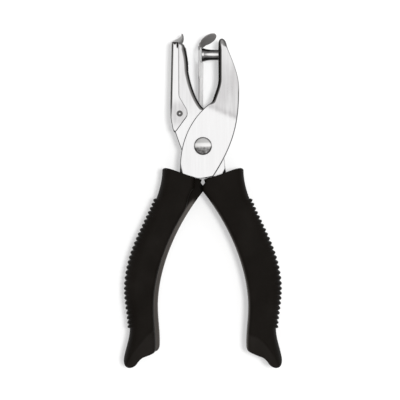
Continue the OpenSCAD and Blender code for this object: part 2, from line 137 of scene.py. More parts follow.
class Pattern:
    """An output socket in a node tree. Sums, differences and products add Math nodes."""

    def __init__(self, tree, socket):
        self.tree = tree
        self.socket = socket

    def node(self, kind, settings, sockets, out=0):
        """Adds a node of a kind, makes its settings, and then fills its sockets, which go by
        their names or numbers."""
        made = self.tree.nodes.new(kind)
        for key, value in settings.items():
            setattr(made, key, value)
        for key, value in sockets.items():
            fill(self.tree, made.inputs[key], value)
        return Pattern(self.tree, made.outputs[out])

    def math(self, operation, *values):
        """One Math node on this pattern and up to two more values."""
        return self.node("ShaderNodeMath", {"operation": operation},
                         dict(enumerate((self, *values))))

    def __add__(self, other):
        return self.math("ADD", other)

    def __sub__(self, other):
        return self.math("SUBTRACT", other)

    def __rsub__(self, other):
        return self.node("ShaderNodeMath", {"operation": "SUBTRACT"}, {0: other, 1: self})

    def __mul__(self, other):
        return self.math("MULTIPLY", other)

    __radd__ = __add__
    __rmul__ = __mul__

    def between(self, low, high):
        """0 below low, 1 above high, with a smooth ramp between."""
        return self.node("ShaderNodeMapRange", {"interpolation_type": "SMOOTHSTEP"},
                         {"Value": self, "From Min": low, "From Max": high})

    def tint(self, dark, light):
        """A colour that goes from dark to light as the pattern goes from 0 to 1. Either end may
        be a plain colour or a pattern. A Mix node has its colours at 6 and 7, and gives at 2."""
        return self.node("ShaderNodeMix", {"data_type": "RGBA"}, {0: self, 6: dark, 7: light}, 2)


print("patterns can be added and multiplied")

# %% Pattern tools


def coordinates(tree, out):
    """The first pattern of a tree: the place on a piece, or the way one looks into the sky."""
    return Pattern(tree, None).node("ShaderNodeTexCoord", {}, {}, out)


def new_finish(name):
    """A material with a Principled shader, and its Object coordinates."""
    material = bpy.data.materials.new(name)
    material.use_nodes = True
    return material, coordinates(material.node_tree, "Object")


def paint(material, sockets):
    """Fills the sockets of a material's shader, and gives the material back."""
    tree = material.node_tree
    for key, value in sockets.items():
        fill(tree, tree.nodes["Principled BSDF"].inputs[key], value)
    return material


def grain(place, scale, detail=2.0, stretch=(1, 1, 1)):
    """Cloudy noise, about scale cells to the metre, drawn out by stretch."""
    spread = place.node("ShaderNodeMapping", {}, {"Vector": place, "Scale": stretch})
    return spread.node("ShaderNodeTexNoise", {},
                       {"Vector": spread, "Scale": scale, "Detail": detail})


def attribute(place, name):
    """A number stored at each point of the mesh."""
    return place.node("ShaderNodeAttribute", {"attribute_name": name}, {}, "Fac")


def bumped(height, strength, depth=0.03 * MM):
    """A Normal that tilts as the height pattern rises and falls by depth metres."""
    return height.node("ShaderNodeBump", {},
                       {"Strength": strength, "Distance": depth, "Height": height})


print("pattern tools ready")

# %% [markdown]
# Bright plated metal only shows what it reflects. In a studio a light tent takes care of that:
# white cloth overhead turns the flat plates white, and a greyer room lower down tells tilted
# faces from level ones. Here the world does the same. Its strength follows the angle between the
# way one looks and a leaning axis, which their dot product tells.

# %% Light tent
ROOM_GREY, TENT_WHITE = 0.55, 1.25
TENT_LEAN = (0.20, 0.06, 0.978)
TENT_FROM, TENT_FULL = 0.78, 0.95
CLOTH_WHITE = (1.0, 0.995, 0.99)
world = bpy.data.worlds.new("light_tent")
bpy.context.scene.world = world
world.use_nodes = True
sky = world.node_tree
towards = coordinates(sky, "Generated")
upward = towards.node("ShaderNodeVectorMath", {"operation": "DOT_PRODUCT"},
                      {0: towards, 1: TENT_LEAN}, "Value")
tent = upward.between(TENT_FROM, TENT_FULL) * (TENT_WHITE - ROOM_GREY) + ROOM_GREY
fill(sky, sky.nodes["Background"].inputs["Color"], CLOTH_WHITE)
fill(sky, sky.nodes["Background"].inputs["Strength"], tent)
print("light tent from", ROOM_GREY, "to", TENT_WHITE)

# %% [markdown]
# The levers and the catcher are nickel plated sheet, drawn along the jaws when it was rolled, so
# its fine lines run along Y. The leaf and the spring are spring steel with a more satin plate.
# A photograph of brushed metal would repeat, so noise that is stretched along Y makes the lines.
# Marks stored on the mesh tell the finish where a cut edge, a fold or a duller place is. Cut edges
# are painted dark, partly as shade, folds are painted smoky to black as shade, and the leaf's
# tongue and head are painted grey as shade.

# %% Plated sheet
# Colours of painted shade: grey and black in the folds, grey on the leaf's tongue, dark on cut
# edges.
FOLD_SHADE_GREY, FOLD_SHADE_BLACK = (0.22, 0.215, 0.212), (0.018, 0.016, 0.015)
TONGUE_SHADE_GREY, RAW_EDGE_AND_SHADE = (0.21, 0.20, 0.197), (0.06, 0.059, 0.06)


def plated_sheet(name, light, dark, rough, metal):
    """Nickel plate: rolling lines along Y and soft cloudy patches. It is duller where a mark
    says so, dark along raw cut edges, partly as painted shade, painted smoky to black as shade
    in the folds, and painted grey as shade where the tongue mark says so."""
    material, place = new_finish(name)
    lines = grain(place, 1.0, 3.0, (5200, 90, 5200))
    broad = grain(place, 1.0, 2.0, (900, 40, 900))
    clouds = grain(place, 110.0, 4.0)
    rim, fold, dull, tongue = (attribute(place, mark) for mark in
                               ("rim", "fold", "dull", "tongue"))
    streaks = 0.5 * lines + 0.5 * broad - 0.5
    patches = clouds - 0.5
    tone = 0.86 + 0.8 * streaks * (0.4 + dull) + 0.35 * patches * (0.4 + dull) - 0.62 * dull
    plate = tone.between(-0.1, 1.1).tint(dark, light)
    # Painted shade: folds go smoky grey and then black, and the tongue mark goes grey.
    fold_shade = fold.between(0.0, 0.5).tint(plate, FOLD_SHADE_GREY)
    deep_fold_shade = fold.between(0.5, 1.0).tint(fold_shade, FOLD_SHADE_BLACK)
    grey = tongue.tint(deep_fold_shade, TONGUE_SHADE_GREY)
    # Cut edges are painted dark: raw steel, and painted shade along them too.
    return paint(material, {
        "Base Color": rim.tint(grey, RAW_EDGE_AND_SHADE), "Metallic": metal,
        "Roughness": rough + 0.10 * lines + 0.10 * clouds + 0.12 * rim + 0.2 * tongue,
        "Normal": bumped(lines + 0.6 * broad, 0.05)})


nickel = plated_sheet("nickel_sheet", (0.86, 0.86, 0.865), (0.42, 0.41, 0.415), 0.20, 1.0)
strip_steel = plated_sheet("spring_strip", (0.96, 0.955, 0.95), (0.42, 0.41, 0.41), 0.24, 0.5)
print("sheet finishes:", nickel.name, strip_steel.name)

# %% [markdown]
# The punch, the die, the small rivets, the washer and the sleeve are turned from tool steel. The
# cutter leaves fine rings, which follow a number that the lathe pieces store. Their flanks are
# painted dark as shade, and faces that lie level get a painted highlight.

# %% Turned steel


def part_of(vector, axis):
    """One axis of a vector pattern."""
    return vector.node("ShaderNodeSeparateXYZ", {}, {"Vector": vector}, axis)


def turned_steel(name, light, dark, rough):
    """Tool steel: fine turning rings, a dull film, a painted highlight on faces that lie level,
    and painted shade on the flanks."""
    material, place = new_finish(name)
    rings = attribute(place, "turning")
    ripple = grain(rings.node("ShaderNodeCombineXYZ", {}, {"X": rings}), 1.0, 3.0)
    film = grain(place, 260.0, 3.0)
    level = part_of(place.node("ShaderNodeNewGeometry", {}, {}, "Normal"), "Z").math("ABSOLUTE")
    # Painted highlight on faces that lie level; the flanks stay dark as painted shade.
    level_highlight = 0.5 * level.between(0.95, 1.0) + 0.4 * level.between(0.6, 0.92)
    tone = 0.4 * ripple + 0.5 * film + level_highlight - 0.55
    return paint(material, {
        "Base Color": tone.between(0.0, 0.8).tint(dark, light), "Metallic": 1.0,
        "Roughness": rough + 0.12 * ripple + 0.06 * film, "Normal": bumped(ripple, 0.12)})


tool_steel = turned_steel("tool_steel", (0.78, 0.77, 0.77), (0.03, 0.028, 0.027), 0.16)
dark_steel = turned_steel("dark_steel", (0.13, 0.127, 0.124), (0.02, 0.019, 0.018), 0.18)
print("turned finishes:", tool_steel.name, dark_steel.name)

# %% [markdown]
# The big rivet is set by a press and brushed across. Its head gets a painted highlight along one
# streak, painted shade mottled with stains below it, and painted shade round its rolled edge.
# Rings drawn into the mesh could mark these places, but height above the pivot and distance from
# it tell them with no extra points.

# %% Rivet head
EDGE_SHADE_FROM, EDGE_SHADE_FULL = 3.1 * MM, 4.0 * MM
HIGHLIGHT_AT, HIGHLIGHT_HALF = 0.4 * MM, 1.6 * MM
LOW_SHADE_FULL, LOW_SHADE_FROM = -2.0 * MM, 0.8 * MM


def brushed_head(name):
    """Brushed steel: fine lines across, a painted highlight along one streak, painted shade with
    mottled stains below it, and painted shade round its rolled edge."""
    material, place = new_finish(name)
    lines = grain(place, 1.0, 3.0, (160, 6500, 160))
    stains = grain(place, 900.0, 4.0)
    height = part_of(place, "Y") - float(PIVOT[1])
    sideways = part_of(place, "X")
    away = (sideways * sideways + height * height).math("SQRT")
    # Painted highlight along one streak, painted shade below it and round the rolled edge.
    ring = away.between(EDGE_SHADE_FROM, EDGE_SHADE_FULL)
    head_highlight = 1.0 - (height - HIGHLIGHT_AT).math("ABSOLUTE").between(0.0, HIGHLIGHT_HALF)
    below = 1.0 - height.between(LOW_SHADE_FULL, LOW_SHADE_FROM)
    tone = (0.52 + 0.5 * (lines - 0.5) + 0.4 * head_highlight - 0.3 * below + below * (stains - 0.5)
            - 0.42 * ring)
    colour = tone.between(0.0, 1.0).tint((0.07, 0.067, 0.066), (0.86, 0.855, 0.85))
    return paint(material, {
        "Base Color": colour, "Metallic": 1.0, "Normal": bumped(lines, 0.10),
        "Roughness": 0.24 + 0.12 * lines + 0.10 * stains})


rivet_steel = brushed_head("rivet_steel")
print("head finish:", rivet_steel.name)

# %% [markdown]
# The grips are a warm black moulding. Its mould was spark eroded, which leaves a satin grain, far
# too fine for points, so a Bump node makes it. The hand polishes the ribs, the foot pad is
# smoother, and the ledge of the inner side is painted grey as a sheen.

# %% Black moulding


def black_moulding(name):
    """Satin black plastic: a fine grain, a polish on the ribs, a smoother foot pad, and a painted
    grey sheen on the ledge where the two halves of the mould met."""
    material, place = new_finish(name)
    pores = grain(place, 5200.0, 2.0)
    cloud = grain(place, 90.0, 3.0)
    crest, pad, ledge = (attribute(place, mark) for mark in ("crest", "pad", "ledge"))
    # Painted sheen: the ledge mark lightens the black to grey.
    tone = 0.12 * cloud + 0.10 * pores + 0.05 * pad + 0.75 * ledge
    colour = tone.between(0.0, 0.9).tint((0.0018, 0.0010, 0.0003), (0.085, 0.077, 0.071))
    return paint(material, {
        "Base Color": colour, "Specular IOR Level": 0.07,
        "Roughness": 0.46 + 0.12 * cloud - 0.08 * crest - 0.06 * pad,
        "Normal": bumped(pores, 0.16, 0.04 * MM)})


black = black_moulding("black_moulding")
print("grip finish:", black.name)

# %% [markdown]
# The light table is a pale card. More lamps could keep the shadows on it light, but they would
# also show in the plated sheet, so the card itself glows a little.

# %% Pale card
FLOOR_GLOW = 0.40


def pale_floor(name):
    """White card: a faint cloud on its face, and a glow that is the same all over."""
    material, place = new_finish(name)
    cloud = grain(place, 6.0, 2.0).between(0.2, 0.8)
    return paint(material, {
        "Base Color": cloud.tint((0.49, 0.49, 0.49), (0.51, 0.51, 0.51)), "Roughness": 0.85,
        "Emission Color": (1, 1, 1), "Emission Strength": FLOOR_GLOW})


floor_mesh.materials.append(pale_floor("pale_card"))
print("finishes:", [m.name for m in bpy.data.materials if m.users])

# %% [markdown]
# Every piece is a set of grids. A grid is a two-way array of points, wrapped round where it
# closes on itself; its faces come from the same index array shifted by one. Points are kept in
# millimetres from the pivot, with X across, Y towards the jaws and Z towards the front.

# %% Grid faces


def grid_faces(rows, columns, wrap_rows=False, wrap_columns=False):
    """Four-sided faces of a grid: each cell joins its corner to the next row and column."""
    index = np.arange(rows * columns).reshape(rows, columns)
    if wrap_rows:
        index = np.vstack([index, index[:1]])
    if wrap_columns:
        index = np.hstack([index, index[:, :1]])
    return np.stack([index[:-1, :-1], index[1:, :-1], index[1:, 1:], index[:-1, 1:]],
                    axis=-1).reshape(-1, 4)


print("a grid of 3 by 3 points has", len(grid_faces(3, 3)), "faces")

# %% Shapes


class Shape:
    """Collects the points, faces and point numbers of a piece from several grids."""

    def __init__(self):
        self.points, self.faces, self.marks, self.count = [], [], {}, 0

    def add(self, points, faces, **marks):
        """Adds points of shape (n, 3) with their faces, and marks that name a number per point."""
        points = np.asarray(points, float).reshape(-1, 3)
        for key in set(marks) | set(self.marks):
            stored = self.marks.setdefault(key, [np.zeros(self.count)])
            stored.append(np.ravel(marks.get(key, np.zeros(len(points)))))
        self.points.append(points)
        self.faces.extend((np.asarray(face) + self.count).tolist() for face in faces)
        self.count += len(points)
        return self

    def grid(self, points, wrap_rows=False, wrap_columns=False, caps=False, flip=False, **marks):
        """Adds a grid of shape (rows, columns, 3), with its first and last row closed by caps.
        Marks may be given per point, per row, per column or once."""
        rows, columns = points.shape[:2]
        marks = {key: np.broadcast_to(mark, (rows, columns)) for key, mark in marks.items()}
        faces = list(grid_faces(rows, columns, wrap_rows, wrap_columns))
        if caps:
            first = np.arange(columns)
            faces += [first, first[::-1] + (rows - 1) * columns]
        return self.add(points, [face[::-1] for face in faces] if flip else faces, **marks)

    def piece(self, name, body, node, slot, material):
        """Makes the mesh object, hides the solid it stands for, and hangs it on its body, if it
        has just one."""
        points = PIVOT + np.concatenate(self.points) * MM
        mesh = bpy.data.meshes.new(name)
        mesh.from_pydata(points.tolist(), [], self.faces)
        for key, parts in self.marks.items():
            values = np.concatenate(parts).astype(np.float32)
            mesh.attributes.new(key, "FLOAT", "POINT").data.foreach_set("value", values)
        mesh.materials.append(material)
        mesh.shade_smooth()
        made = stand(name, mesh)
        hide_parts(node)
        if body:
            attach(made, body)
        print(name, "points", len(mesh.vertices), "faces", len(mesh.polygons))
        return made


print("an empty shape has", Shape().count, "points")

# %% [markdown]
# The grips are one moulding used twice, the left one turned over. A grip runs from its top,
# t = 0, to its foot, t = 1, between an inner and an outer edge. Each edge is three cubic curves
# in a row, with corners given as shares of half the handles' spread and of their reach.

# %% Grip outline
HALF_DEPTH = 9.0
GRIP_SIZE = np.array([35.8, -99.6])
LAP_SHARE = -0.25 / GRIP_SIZE[0]
INNER_CURVES = GRIP_SIZE * np.array([
    np.linspace((LAP_SHARE, 0.152), (LAP_SHARE, 0.201), 4),
    [(LAP_SHARE, 0.201), (0.413, 0.39), (0.578, 0.596), (0.573, 0.731)],
    [(0.573, 0.731), (0.573, 0.793), (0.536, 0.864), (0.553, 0.922)]])
OUTER_CURVES = GRIP_SIZE * np.array([
    [(0.511, 0.098), (0.497, 0.271), (0.939, 0.412), (0.961, 0.633)],
    [(0.961, 0.633), (0.969, 0.703), (0.902, 0.788), (0.922, 0.843)],
    [(0.922, 0.843), (0.933, 0.884), (0.992, 0.934), (0.998, 0.974)]])
print("the foot runs from", INNER_CURVES[-1, -1].round(1), "to", OUTER_CURVES[-1, -1].round(1))

# %% Grip edges
MEET_T, INNER_WAIST_T, BELLY_T, OUTER_WAIST_T = 0.06, 0.78, 0.62, 0.86


def bend(corners, t):
    """Cubic curve: its four corners weigh by (1-t)^3, 3(1-t)^2 t, 3(1-t) t^2 and t^3."""
    t = np.asarray(t, float)[..., None]
    p = np.asarray(corners, float)
    s = 1 - t
    return s ** 3 * p[0] + 3 * s * s * t * p[1] + 3 * s * t * t * p[2] + t ** 3 * p[3]


def along(t, start, end):
    """The share of the way from start to end, kept between 0 and 1."""
    return np.clip((t - start) / (end - start), 0, 1)


def edge(t, marks, curves):
    """Three cubic curves in a row, joined at two marks of t."""
    first, second, third = (bend(corners, along(t, start, end)) for corners, start, end in
                            zip(curves, (0, *marks), (*marks, 1)))
    before, after = (t < marks[0])[..., None], (t > marks[1])[..., None]
    return np.where(before, first, np.where(after, third, second))


def inner_edge(t):
    """A short slope to where the grips meet, a long bow to the waist, and a curve to the foot."""
    return edge(t, (MEET_T, INNER_WAIST_T), INNER_CURVES)


def outer_edge(t):
    """A bow to the belly, a short one to the waist, and a flare to the foot."""
    return edge(t, (BELLY_T, OUTER_WAIST_T), OUTER_CURVES)


def grip_width(t):
    """Straight distance between the two edges."""
    return np.linalg.norm(outer_edge(t) - inner_edge(t), axis=-1)


print("grip width at the top, belly and foot:",
      np.round(grip_width(np.array([0.0, BELLY_T, 1.0])), 2))

# %% Across the grip
TOP_BULGE, TOP_FADE, TOP_PEAK = 0.6, 0.15, 12.2
FOOT_BULGE, FOOT_FROM = 0.7, 0.85
TOE_DROP, TOE_AT, TOE_HALF, TOE_FROM = 3.05, 0.78, 0.22, 0.42


def smooth(x):
    """Rises from 0 to 1 as x does, level at both ends: 3 x squared less 2 x cubed."""
    x = np.clip(x, 0, 1)
    return x * x * (3 - 2 * x)


def across(t, a):
    """A point a millimetres out from the inner edge, a share q of the width. The top bows up by
    q^4 (1 - q), which TOP_PEAK makes one high, and the foot down by a parabola. The toe hangs
    lower still, a half ellipse with a smooth ramp on its inner side."""
    p = a / grip_width(t)
    line = inner_edge(t) * (1 - p[..., None]) + outer_edge(t) * p[..., None]
    q = np.clip(p, 0, 1)
    top = TOP_BULGE * (1 - smooth(t / TOP_FADE)) * TOP_PEAK * q ** 4 * (1 - q)
    toe = np.sqrt(np.clip(1 - ((q - TOE_AT) / TOE_HALF) ** 2, 0, 1))
    ramp = smooth((q - TOE_FROM) / (TOE_AT - TOE_FROM)) * (q < TOE_AT)
    hang = FOOT_BULGE * 4 * q * (1 - q) + TOE_DROP * np.maximum(toe, ramp)
    line[..., 1] += top - smooth((t - FOOT_FROM) / (1 - FOOT_FROM)) * hang
    return line


toe_tip = across(np.array([1.0]), TOE_AT * grip_width(np.array([1.0])))[0]
print("the toe's tip is at", np.round(toe_tip, 1))

# %% [markdown]
# A grip's section is a rounded block with a ledge on one half of its inner side, so that the two
# grips pass each other when they close. It could be carved into a rounded block, but as a list of
# straight runs and corners the section bends round the ledge in one closed loop. The ledge
# narrows and tilts below the top. It gets a mark for the finish, which paints a grey sheen on it.

# %% Grip section
CORNER_IN, CORNER_OUT = 2.0, 4.5
LAP_WIDTH, LEDGE_WIDTH, LAP_GAP = 4.4, 1.7, 0.15
LAP_FROM, LAP_STEP = 0.07, 0.12
LEDGE_TILT, TILT_FROM, TILT_STEP = 1.1, 0.2, 0.2
STEPS_ON_SIDE, STEPS_ON_CORNER, STEPS_ON_FACE, STEPS_ON_BACK = 5, 8, 22, 12


def straight(start, end, shares):
    """Points on the way from one pair of (distance, depth) to another."""
    return [p + shares * (q - p) for p, q in zip(start, end)]


def corner(centre, radius, start, count):
    """Points on a quarter turn about a centre, from an angle on and clockwise."""
    a = np.radians(start - np.linspace(0, 90, count))
    return centre[0] + radius * np.cos(a), centre[1] + radius * np.sin(a)


def grip_section(t):
    """Rows of (distance from the inner edge, depth) for each t, first the front half from the
    ledge round to the middle of the back, then the rear half from there to the ledge again."""
    w = grip_width(t)[:, None]
    step = smooth((t - LAP_FROM) / LAP_STEP)[:, None]
    lap = LAP_WIDTH * (1 - step) + LEDGE_WIDTH * step
    tilt = LEDGE_TILT * smooth((t - TILT_FROM) / TILT_STEP)[:, None]
    zero = np.zeros_like(w)
    h, gap, ci, co = HALF_DEPTH + zero, LAP_GAP + zero, CORNER_IN + zero, CORNER_OUT + zero
    side, rear_side, back = (np.linspace(0, 1, count, endpoint=False) for count in
                             (STEPS_ON_SIDE, 2 * STEPS_ON_SIDE, STEPS_ON_BACK))
    face = np.linspace(0, 1, STEPS_ON_FACE + 2)[1:-1]
    runs = [straight((lap, gap), (zero, gap - tilt), side),
            straight((zero, gap - tilt), (zero, h - ci), side),
            corner((ci, h - ci), ci, 180, STEPS_ON_CORNER),
            straight((ci, h), (w - co, h), face),
            corner((w - co, h - co), co, 90, STEPS_ON_BACK),
            straight((w, h - co), (w, zero), back),
            straight((w, zero), (w, co - h), back),
            corner((w - co, co - h), co, 0, STEPS_ON_BACK),
            straight((w - co, -h), (lap + ci, -h), face),
            corner((lap + ci, ci - h), ci, 270, STEPS_ON_CORNER),
            straight((lap, ci - h), (lap, gap), rear_side)]
    return [np.hstack([run[i] for run in runs]) for i in (0, 1)]


print("a section has", grip_section(np.array([0.5]))[0].shape[1], "points")

# %% Ledge mark


def ledge_sheen(a):
    """Painted sheen: 1 on the ledge and less up the sides and round the corner next to it, with a
    smooth fade that ends 0.6 mm beyond the ledge's width."""
    mark = np.zeros(a.shape[1])
    rounded_off = np.clip(1.3 - 0.3 * np.arange(STEPS_ON_CORNER), 0, 1)
    start = [np.ones(STEPS_ON_SIDE), np.linspace(1, 0.7, STEPS_ON_SIDE), rounded_off]
    mark[:2 * STEPS_ON_SIDE + STEPS_ON_CORNER] = np.concatenate(start)
    mark[-2 * STEPS_ON_SIDE:] = np.linspace(0.3, 1, 2 * STEPS_ON_SIDE)
    return mark * smooth(LEDGE_WIDTH + 0.6 - a)


print("marked points of a section:",
      np.count_nonzero(ledge_sheen(grip_section(np.array([0.5]))[0])))

# %% [markdown]
# Ribs on the back of a grip keep it from slipping, and the foot has a smooth pad below a curved
# crease. Both are only added to the distances and depths of the section's grid, so that the ribs
# grow out of the moulding without a seam.

# %% Ribs, ends and pad
RIB_FROM, RIB_TO, RIB_COUNT, RIB_HEIGHT, RIB_REACH = 0.17, 0.83, 28, 1.15, 3.6
END_ROUND, TOP_END, FOOT_END = 1.1, 0.012, 0.984
CROWN = 0.25
NOTCH_T, NOTCH_SIZE = (0, 0.019, 0.034), (0.75, 1.25, 0)
PAD_DEPTH, PAD_EDGE, PAD_FROM, PAD_STEP = 0.5, 1.7, 2, 3
CREASE_FROM, CREASE_RUN = 20, 12.5
REAR_CREASE, FRONT_CREASE = (-81, 13, 1.6), (-83.7, 11, 2.3)
SHEEN_FROM, SHEEN_STEP = 0.10, 0.05


def grip_rows():
    """Places along the grip, close together on its two rounded ends and ten to each rib."""
    ends = np.sin(np.linspace(0, np.pi / 2, 8))
    return np.concatenate([
        TOP_END * (1 - ends[::-1]), np.linspace(0.014, MEET_T, 14, endpoint=False),
        np.linspace(MEET_T, RIB_FROM, 16, endpoint=False),
        np.linspace(RIB_FROM, RIB_TO, RIB_COUNT * 10, endpoint=False),
        np.linspace(RIB_TO, 0.982, 44), 1 - (1 - FOOT_END) * (1 - ends)])


def drawn_in(share):
    """How far a quarter circle has drawn in: 1 less the root of 1 less the share squared."""
    return (1 - np.sqrt(np.clip(1 - share ** 2, 0, 1)))[:, None]


def crease(u, rear):
    """Height of the crease above the foot pad: it drops by a power of the way to the toe."""
    x = np.clip((u - CREASE_FROM) / CREASE_RUN, 0, 1.3)
    behind, before = (start - drop * x ** power for start, drop, power in
                      (REAR_CREASE, FRONT_CREASE))
    return np.where(rear, behind, before)


print("rows along a grip:", len(grip_rows()))

# %% Grip surface


def grip_grid():
    """The grip as a grid of t and section: ribs push the back out by the rounded wave
    |sin|, the ends draw in on a quarter circle, a small notch opens at the top of the inner
    edge, the faces are crowned by a parabola, and the pad lies a little deeper."""
    t = grip_rows()
    a, depth = grip_section(t)
    # The ledge's painted grey sheen fades in below the top.
    ledge = ledge_sheen(a) * smooth((t - SHEEN_FROM) / SHEEN_STEP)[:, None]
    w = grip_width(t)[:, None]
    wave = np.abs(np.sin(np.pi * RIB_COUNT * along(t, RIB_FROM, RIB_TO))) ** 0.75
    crest = wave[:, None] * smooth((a - w + RIB_REACH) / RIB_REACH)
    top_in, foot_in = drawn_in(1 - along(t, 0, TOP_END)), drawn_in(along(t, FOOT_END, 1))
    a = a + np.interp(t, NOTCH_T, NOTCH_SIZE)[:, None] * np.clip(1 - a / LAP_WIDTH, 0, 1)
    near, far = END_ROUND * foot_in, END_ROUND * (1.5 * top_in + foot_in)
    a = near + a * (1 - (near + far) / w) + RIB_HEIGHT * crest
    depth = depth * (1 - END_ROUND * (0.7 * top_in + foot_in) / HALF_DEPTH)
    wide = np.broadcast_to(t[:, None], a.shape)
    flat = across(wide.ravel(), a.ravel()).reshape(*a.shape, 2)
    crown = CROWN * (2 * np.clip(a / w, 0, 1) - 1) ** 2
    below = crease(flat[..., 0], depth < 0) - flat[..., 1]
    pad = smooth(below / PAD_EDGE) * smooth((np.abs(depth) - PAD_FROM) / PAD_STEP)
    depth = depth * (1 - (crown + PAD_DEPTH * pad) / HALF_DEPTH)
    return np.dstack([flat, depth]), {"crest": crest, "pad": pad, "ledge": ledge}


grip_points, grip_marks = grip_grid()
print("grip grid:", grip_points.shape[:2])

# %% Both grips
LID_LEAD = 0.6


def lid_triangles(a):
    """Triangles that close a section: two chains of points start at the inner edge, over the
    front and over the ledge and the rear, and the one that lags in its distance moves on."""
    index, half = np.arange(len(a)), len(a) // 2
    front = index[STEPS_ON_SIDE:half]
    rear = np.concatenate([index[:STEPS_ON_SIDE][::-1], index[half:][::-1]])
    far = np.concatenate([a[front][1:], a[rear][1:] + LID_LEAD])
    leads = (np.argsort(far, kind="stable") < len(front) - 1).astype(int)
    i, j = np.cumsum(leads), np.cumsum(1 - leads)
    return np.stack([front[i - leads], np.where(leads, front[i], rear[j]),
                     rear[j - 1 + leads]], axis=-1)


grip_rings, ring_points = grip_points.shape[:2]
top_lid, foot_lid = (lid_triangles(a) for a in grip_section(np.array([0.0, 1.0]))[0])
grip_skin = [*grid_faces(grip_rings, ring_points, wrap_columns=True), *top_lid,
             *(foot_lid[:, ::-1] + (grip_rings - 1) * ring_points)]
for side_name, body, turned_over in (("left", "punch_side", [-1, 1, -1]),
                                     ("right", "die_side", [1, 1, 1])):
    Shape().add(grip_points * turned_over, grip_skin, **grip_marks).piece(
        side_name + "_grip_moulding", body, side_name + "_grip", "grip_plastic", black)

# %% [markdown]
# The levers are folded from sheet. Seen from the front each is a flat plate whose outline is
# partly cut, with a crisp edge, and partly folded, where the sheet rolls over into a wall. First
# the outline is laid out at even steps, and the widest round that fits at each of its points is
# found, so that a fold doesn't run through itself in a tight corner.

# %% Line tools


def unit(vectors):
    """Vectors divided by their lengths."""
    return vectors / np.linalg.norm(vectors, axis=-1)[..., None]


def left_of(way):
    """Flat directions turned a quarter to the left."""
    return np.column_stack([-way[:, 1], way[:, 0]])


def run_along(points):
    """How far along a line each of its points is: the sum of the steps before it."""
    return np.append(0, np.cumsum(np.linalg.norm(np.diff(points, axis=0), axis=1)))


def blurred(values, reach, rounds=1):
    """Each value of a closed row becomes the mean of its neighbours within reach steps."""
    nearby = np.arange(-reach, reach + 1)
    for _ in range(rounds):
        values = values[(np.arange(len(values))[:, None] + nearby) % len(values)].mean(axis=1)
    return values


print("a quarter to the left of X is", left_of(np.array([[1.0, 0.0]]))[0])

# %% Outlines of sheet
SHEET = 1.2
OUTLINE_STEP = 0.3
ROOM_SHARE, ROOM_SLOPE = 0.85, 0.5


def widest_round(line, inward):
    """The widest round that fits at each point of a line. It comes from the circle that touches
    the line there and runs through another of its points: its radius is the squared distance
    over twice the part of it that lies inward. Neighbours differ by no more than a slope."""
    to = line[None] - line[:, None]
    deep = np.maximum((to * inward[:, None]).sum(axis=-1), 1e-6)
    radius = (to ** 2).sum(axis=-1) / (2 * deep) + 99 * np.eye(len(line))
    apart = np.abs(np.arange(len(line))[:, None] - np.arange(len(line))[None])
    apart = np.minimum(apart, len(line) - apart) * OUTLINE_STEP
    return (ROOM_SHARE * radius.min(axis=1)[None] + ROOM_SLOPE * apart).min(axis=1)


def joined(*stretches):
    """A closed outline from stretches of (points, fold), with points laid at even steps. A fold
    is 0 for a raw cut painted dark, partly as shade, 1 for a fold, more for a fold painted darker
    as shade, and down to -1 for a bright cut with no dark paint on it.
    Gives the line, its folds, its inward way, and the widest round at each point."""
    points = np.concatenate([np.asarray(p, float) for p, _ in stretches])
    folds = np.concatenate([np.full(len(p), f, float) for p, f in stretches])
    points, folds = np.vstack([points, points[:1]]), np.append(folds, folds[0])
    run = run_along(points)
    at = np.linspace(0, run[-1], int(run[-1] / OUTLINE_STEP), endpoint=False)
    line = np.column_stack([np.interp(at, run, points[:, k]) for k in (0, 1)])
    fold = np.interp(at, run, folds)
    after = np.roll(line, -1, axis=0)
    if np.sum(line[:, 0] * after[:, 1] - line[:, 1] * after[:, 0]) < 0:
        line, fold = line[::-1], fold[::-1]
    line, fold = blurred(line, 2, 2), blurred(fold, 5)
    inward = left_of(unit(np.roll(line, -1, axis=0) - np.roll(line, 1, axis=0)))
    return line, fold, inward, widest_round(line, inward)


print("outlines have a point every", OUTLINE_STEP, "mm")

# %% [markdown]
# The face of a plate is filled with triangles on an even net, with more points where its finish
# changes quickly. That net can be dished a little, as pressed sheet always is, so that the face
# doesn't reflect like a mirror.

# %% Faces of sheet
FACE_STEP = 1.3


def even_net(low, high, step):
    """Points of an even square net between two corners."""
    return np.stack(np.meshgrid(np.arange(low[0], high[0], step),
                                np.arange(low[1], high[1], step)), axis=-1).reshape(-1, 2)


def nearest(points, others):
    """Distance from each point to the nearest of some others, or 99 where there are none."""
    apart = points[:, None] - others[None]
    return np.sqrt((apart ** 2).sum(axis=-1)).min(axis=1, initial=99)


def inside(points, loop):
    """True for points inside a closed loop: a ray to the right crosses it an odd number of
    times."""
    x, y = points[:, :1], points[:, 1:]
    x1, y1 = loop.T
    x2, y2 = np.roll(loop, -1, axis=0).T
    crosses = (y1 > y) != (y2 > y)
    rise = np.where(y2 == y1, 1.0, y2 - y1)
    hit = crosses & (x < (x2 - x1) * (y - y1) / rise + x1)
    return hit.sum(axis=1) % 2 == 1


def face_triangles(loop, fine):
    """Points on an even net inside a loop, and the triangles that fill it. Where fine points
    are given, they take the place of the net."""
    net = even_net(loop.min(axis=0), loop.max(axis=0), FACE_STEP)
    net = np.vstack([net[nearest(net, fine) ** 2 > FACE_STEP], fine])
    net = net[inside(net, loop)]
    net = net[nearest(net, loop) > 0.2 * FACE_STEP]
    every = np.vstack([loop, net])
    _, _, triangles, first, _, _ = delaunay_2d_cdt(
        [Vector(p) for p in every.tolist()], [], [list(range(len(loop)))], 1, 1e-6)
    origin = [ids[0] for ids in first]
    return net, [[origin[i] for i in triangle] for triangle in triangles]


print("faces have a point about every", FACE_STEP, "mm")

# %% [markdown]
# One rim does both the cut and the folded edges: rings of points run from the face over a quarter
# round, whose radius is small on a cut and wide on a fold, down to the inner side of the sheet.

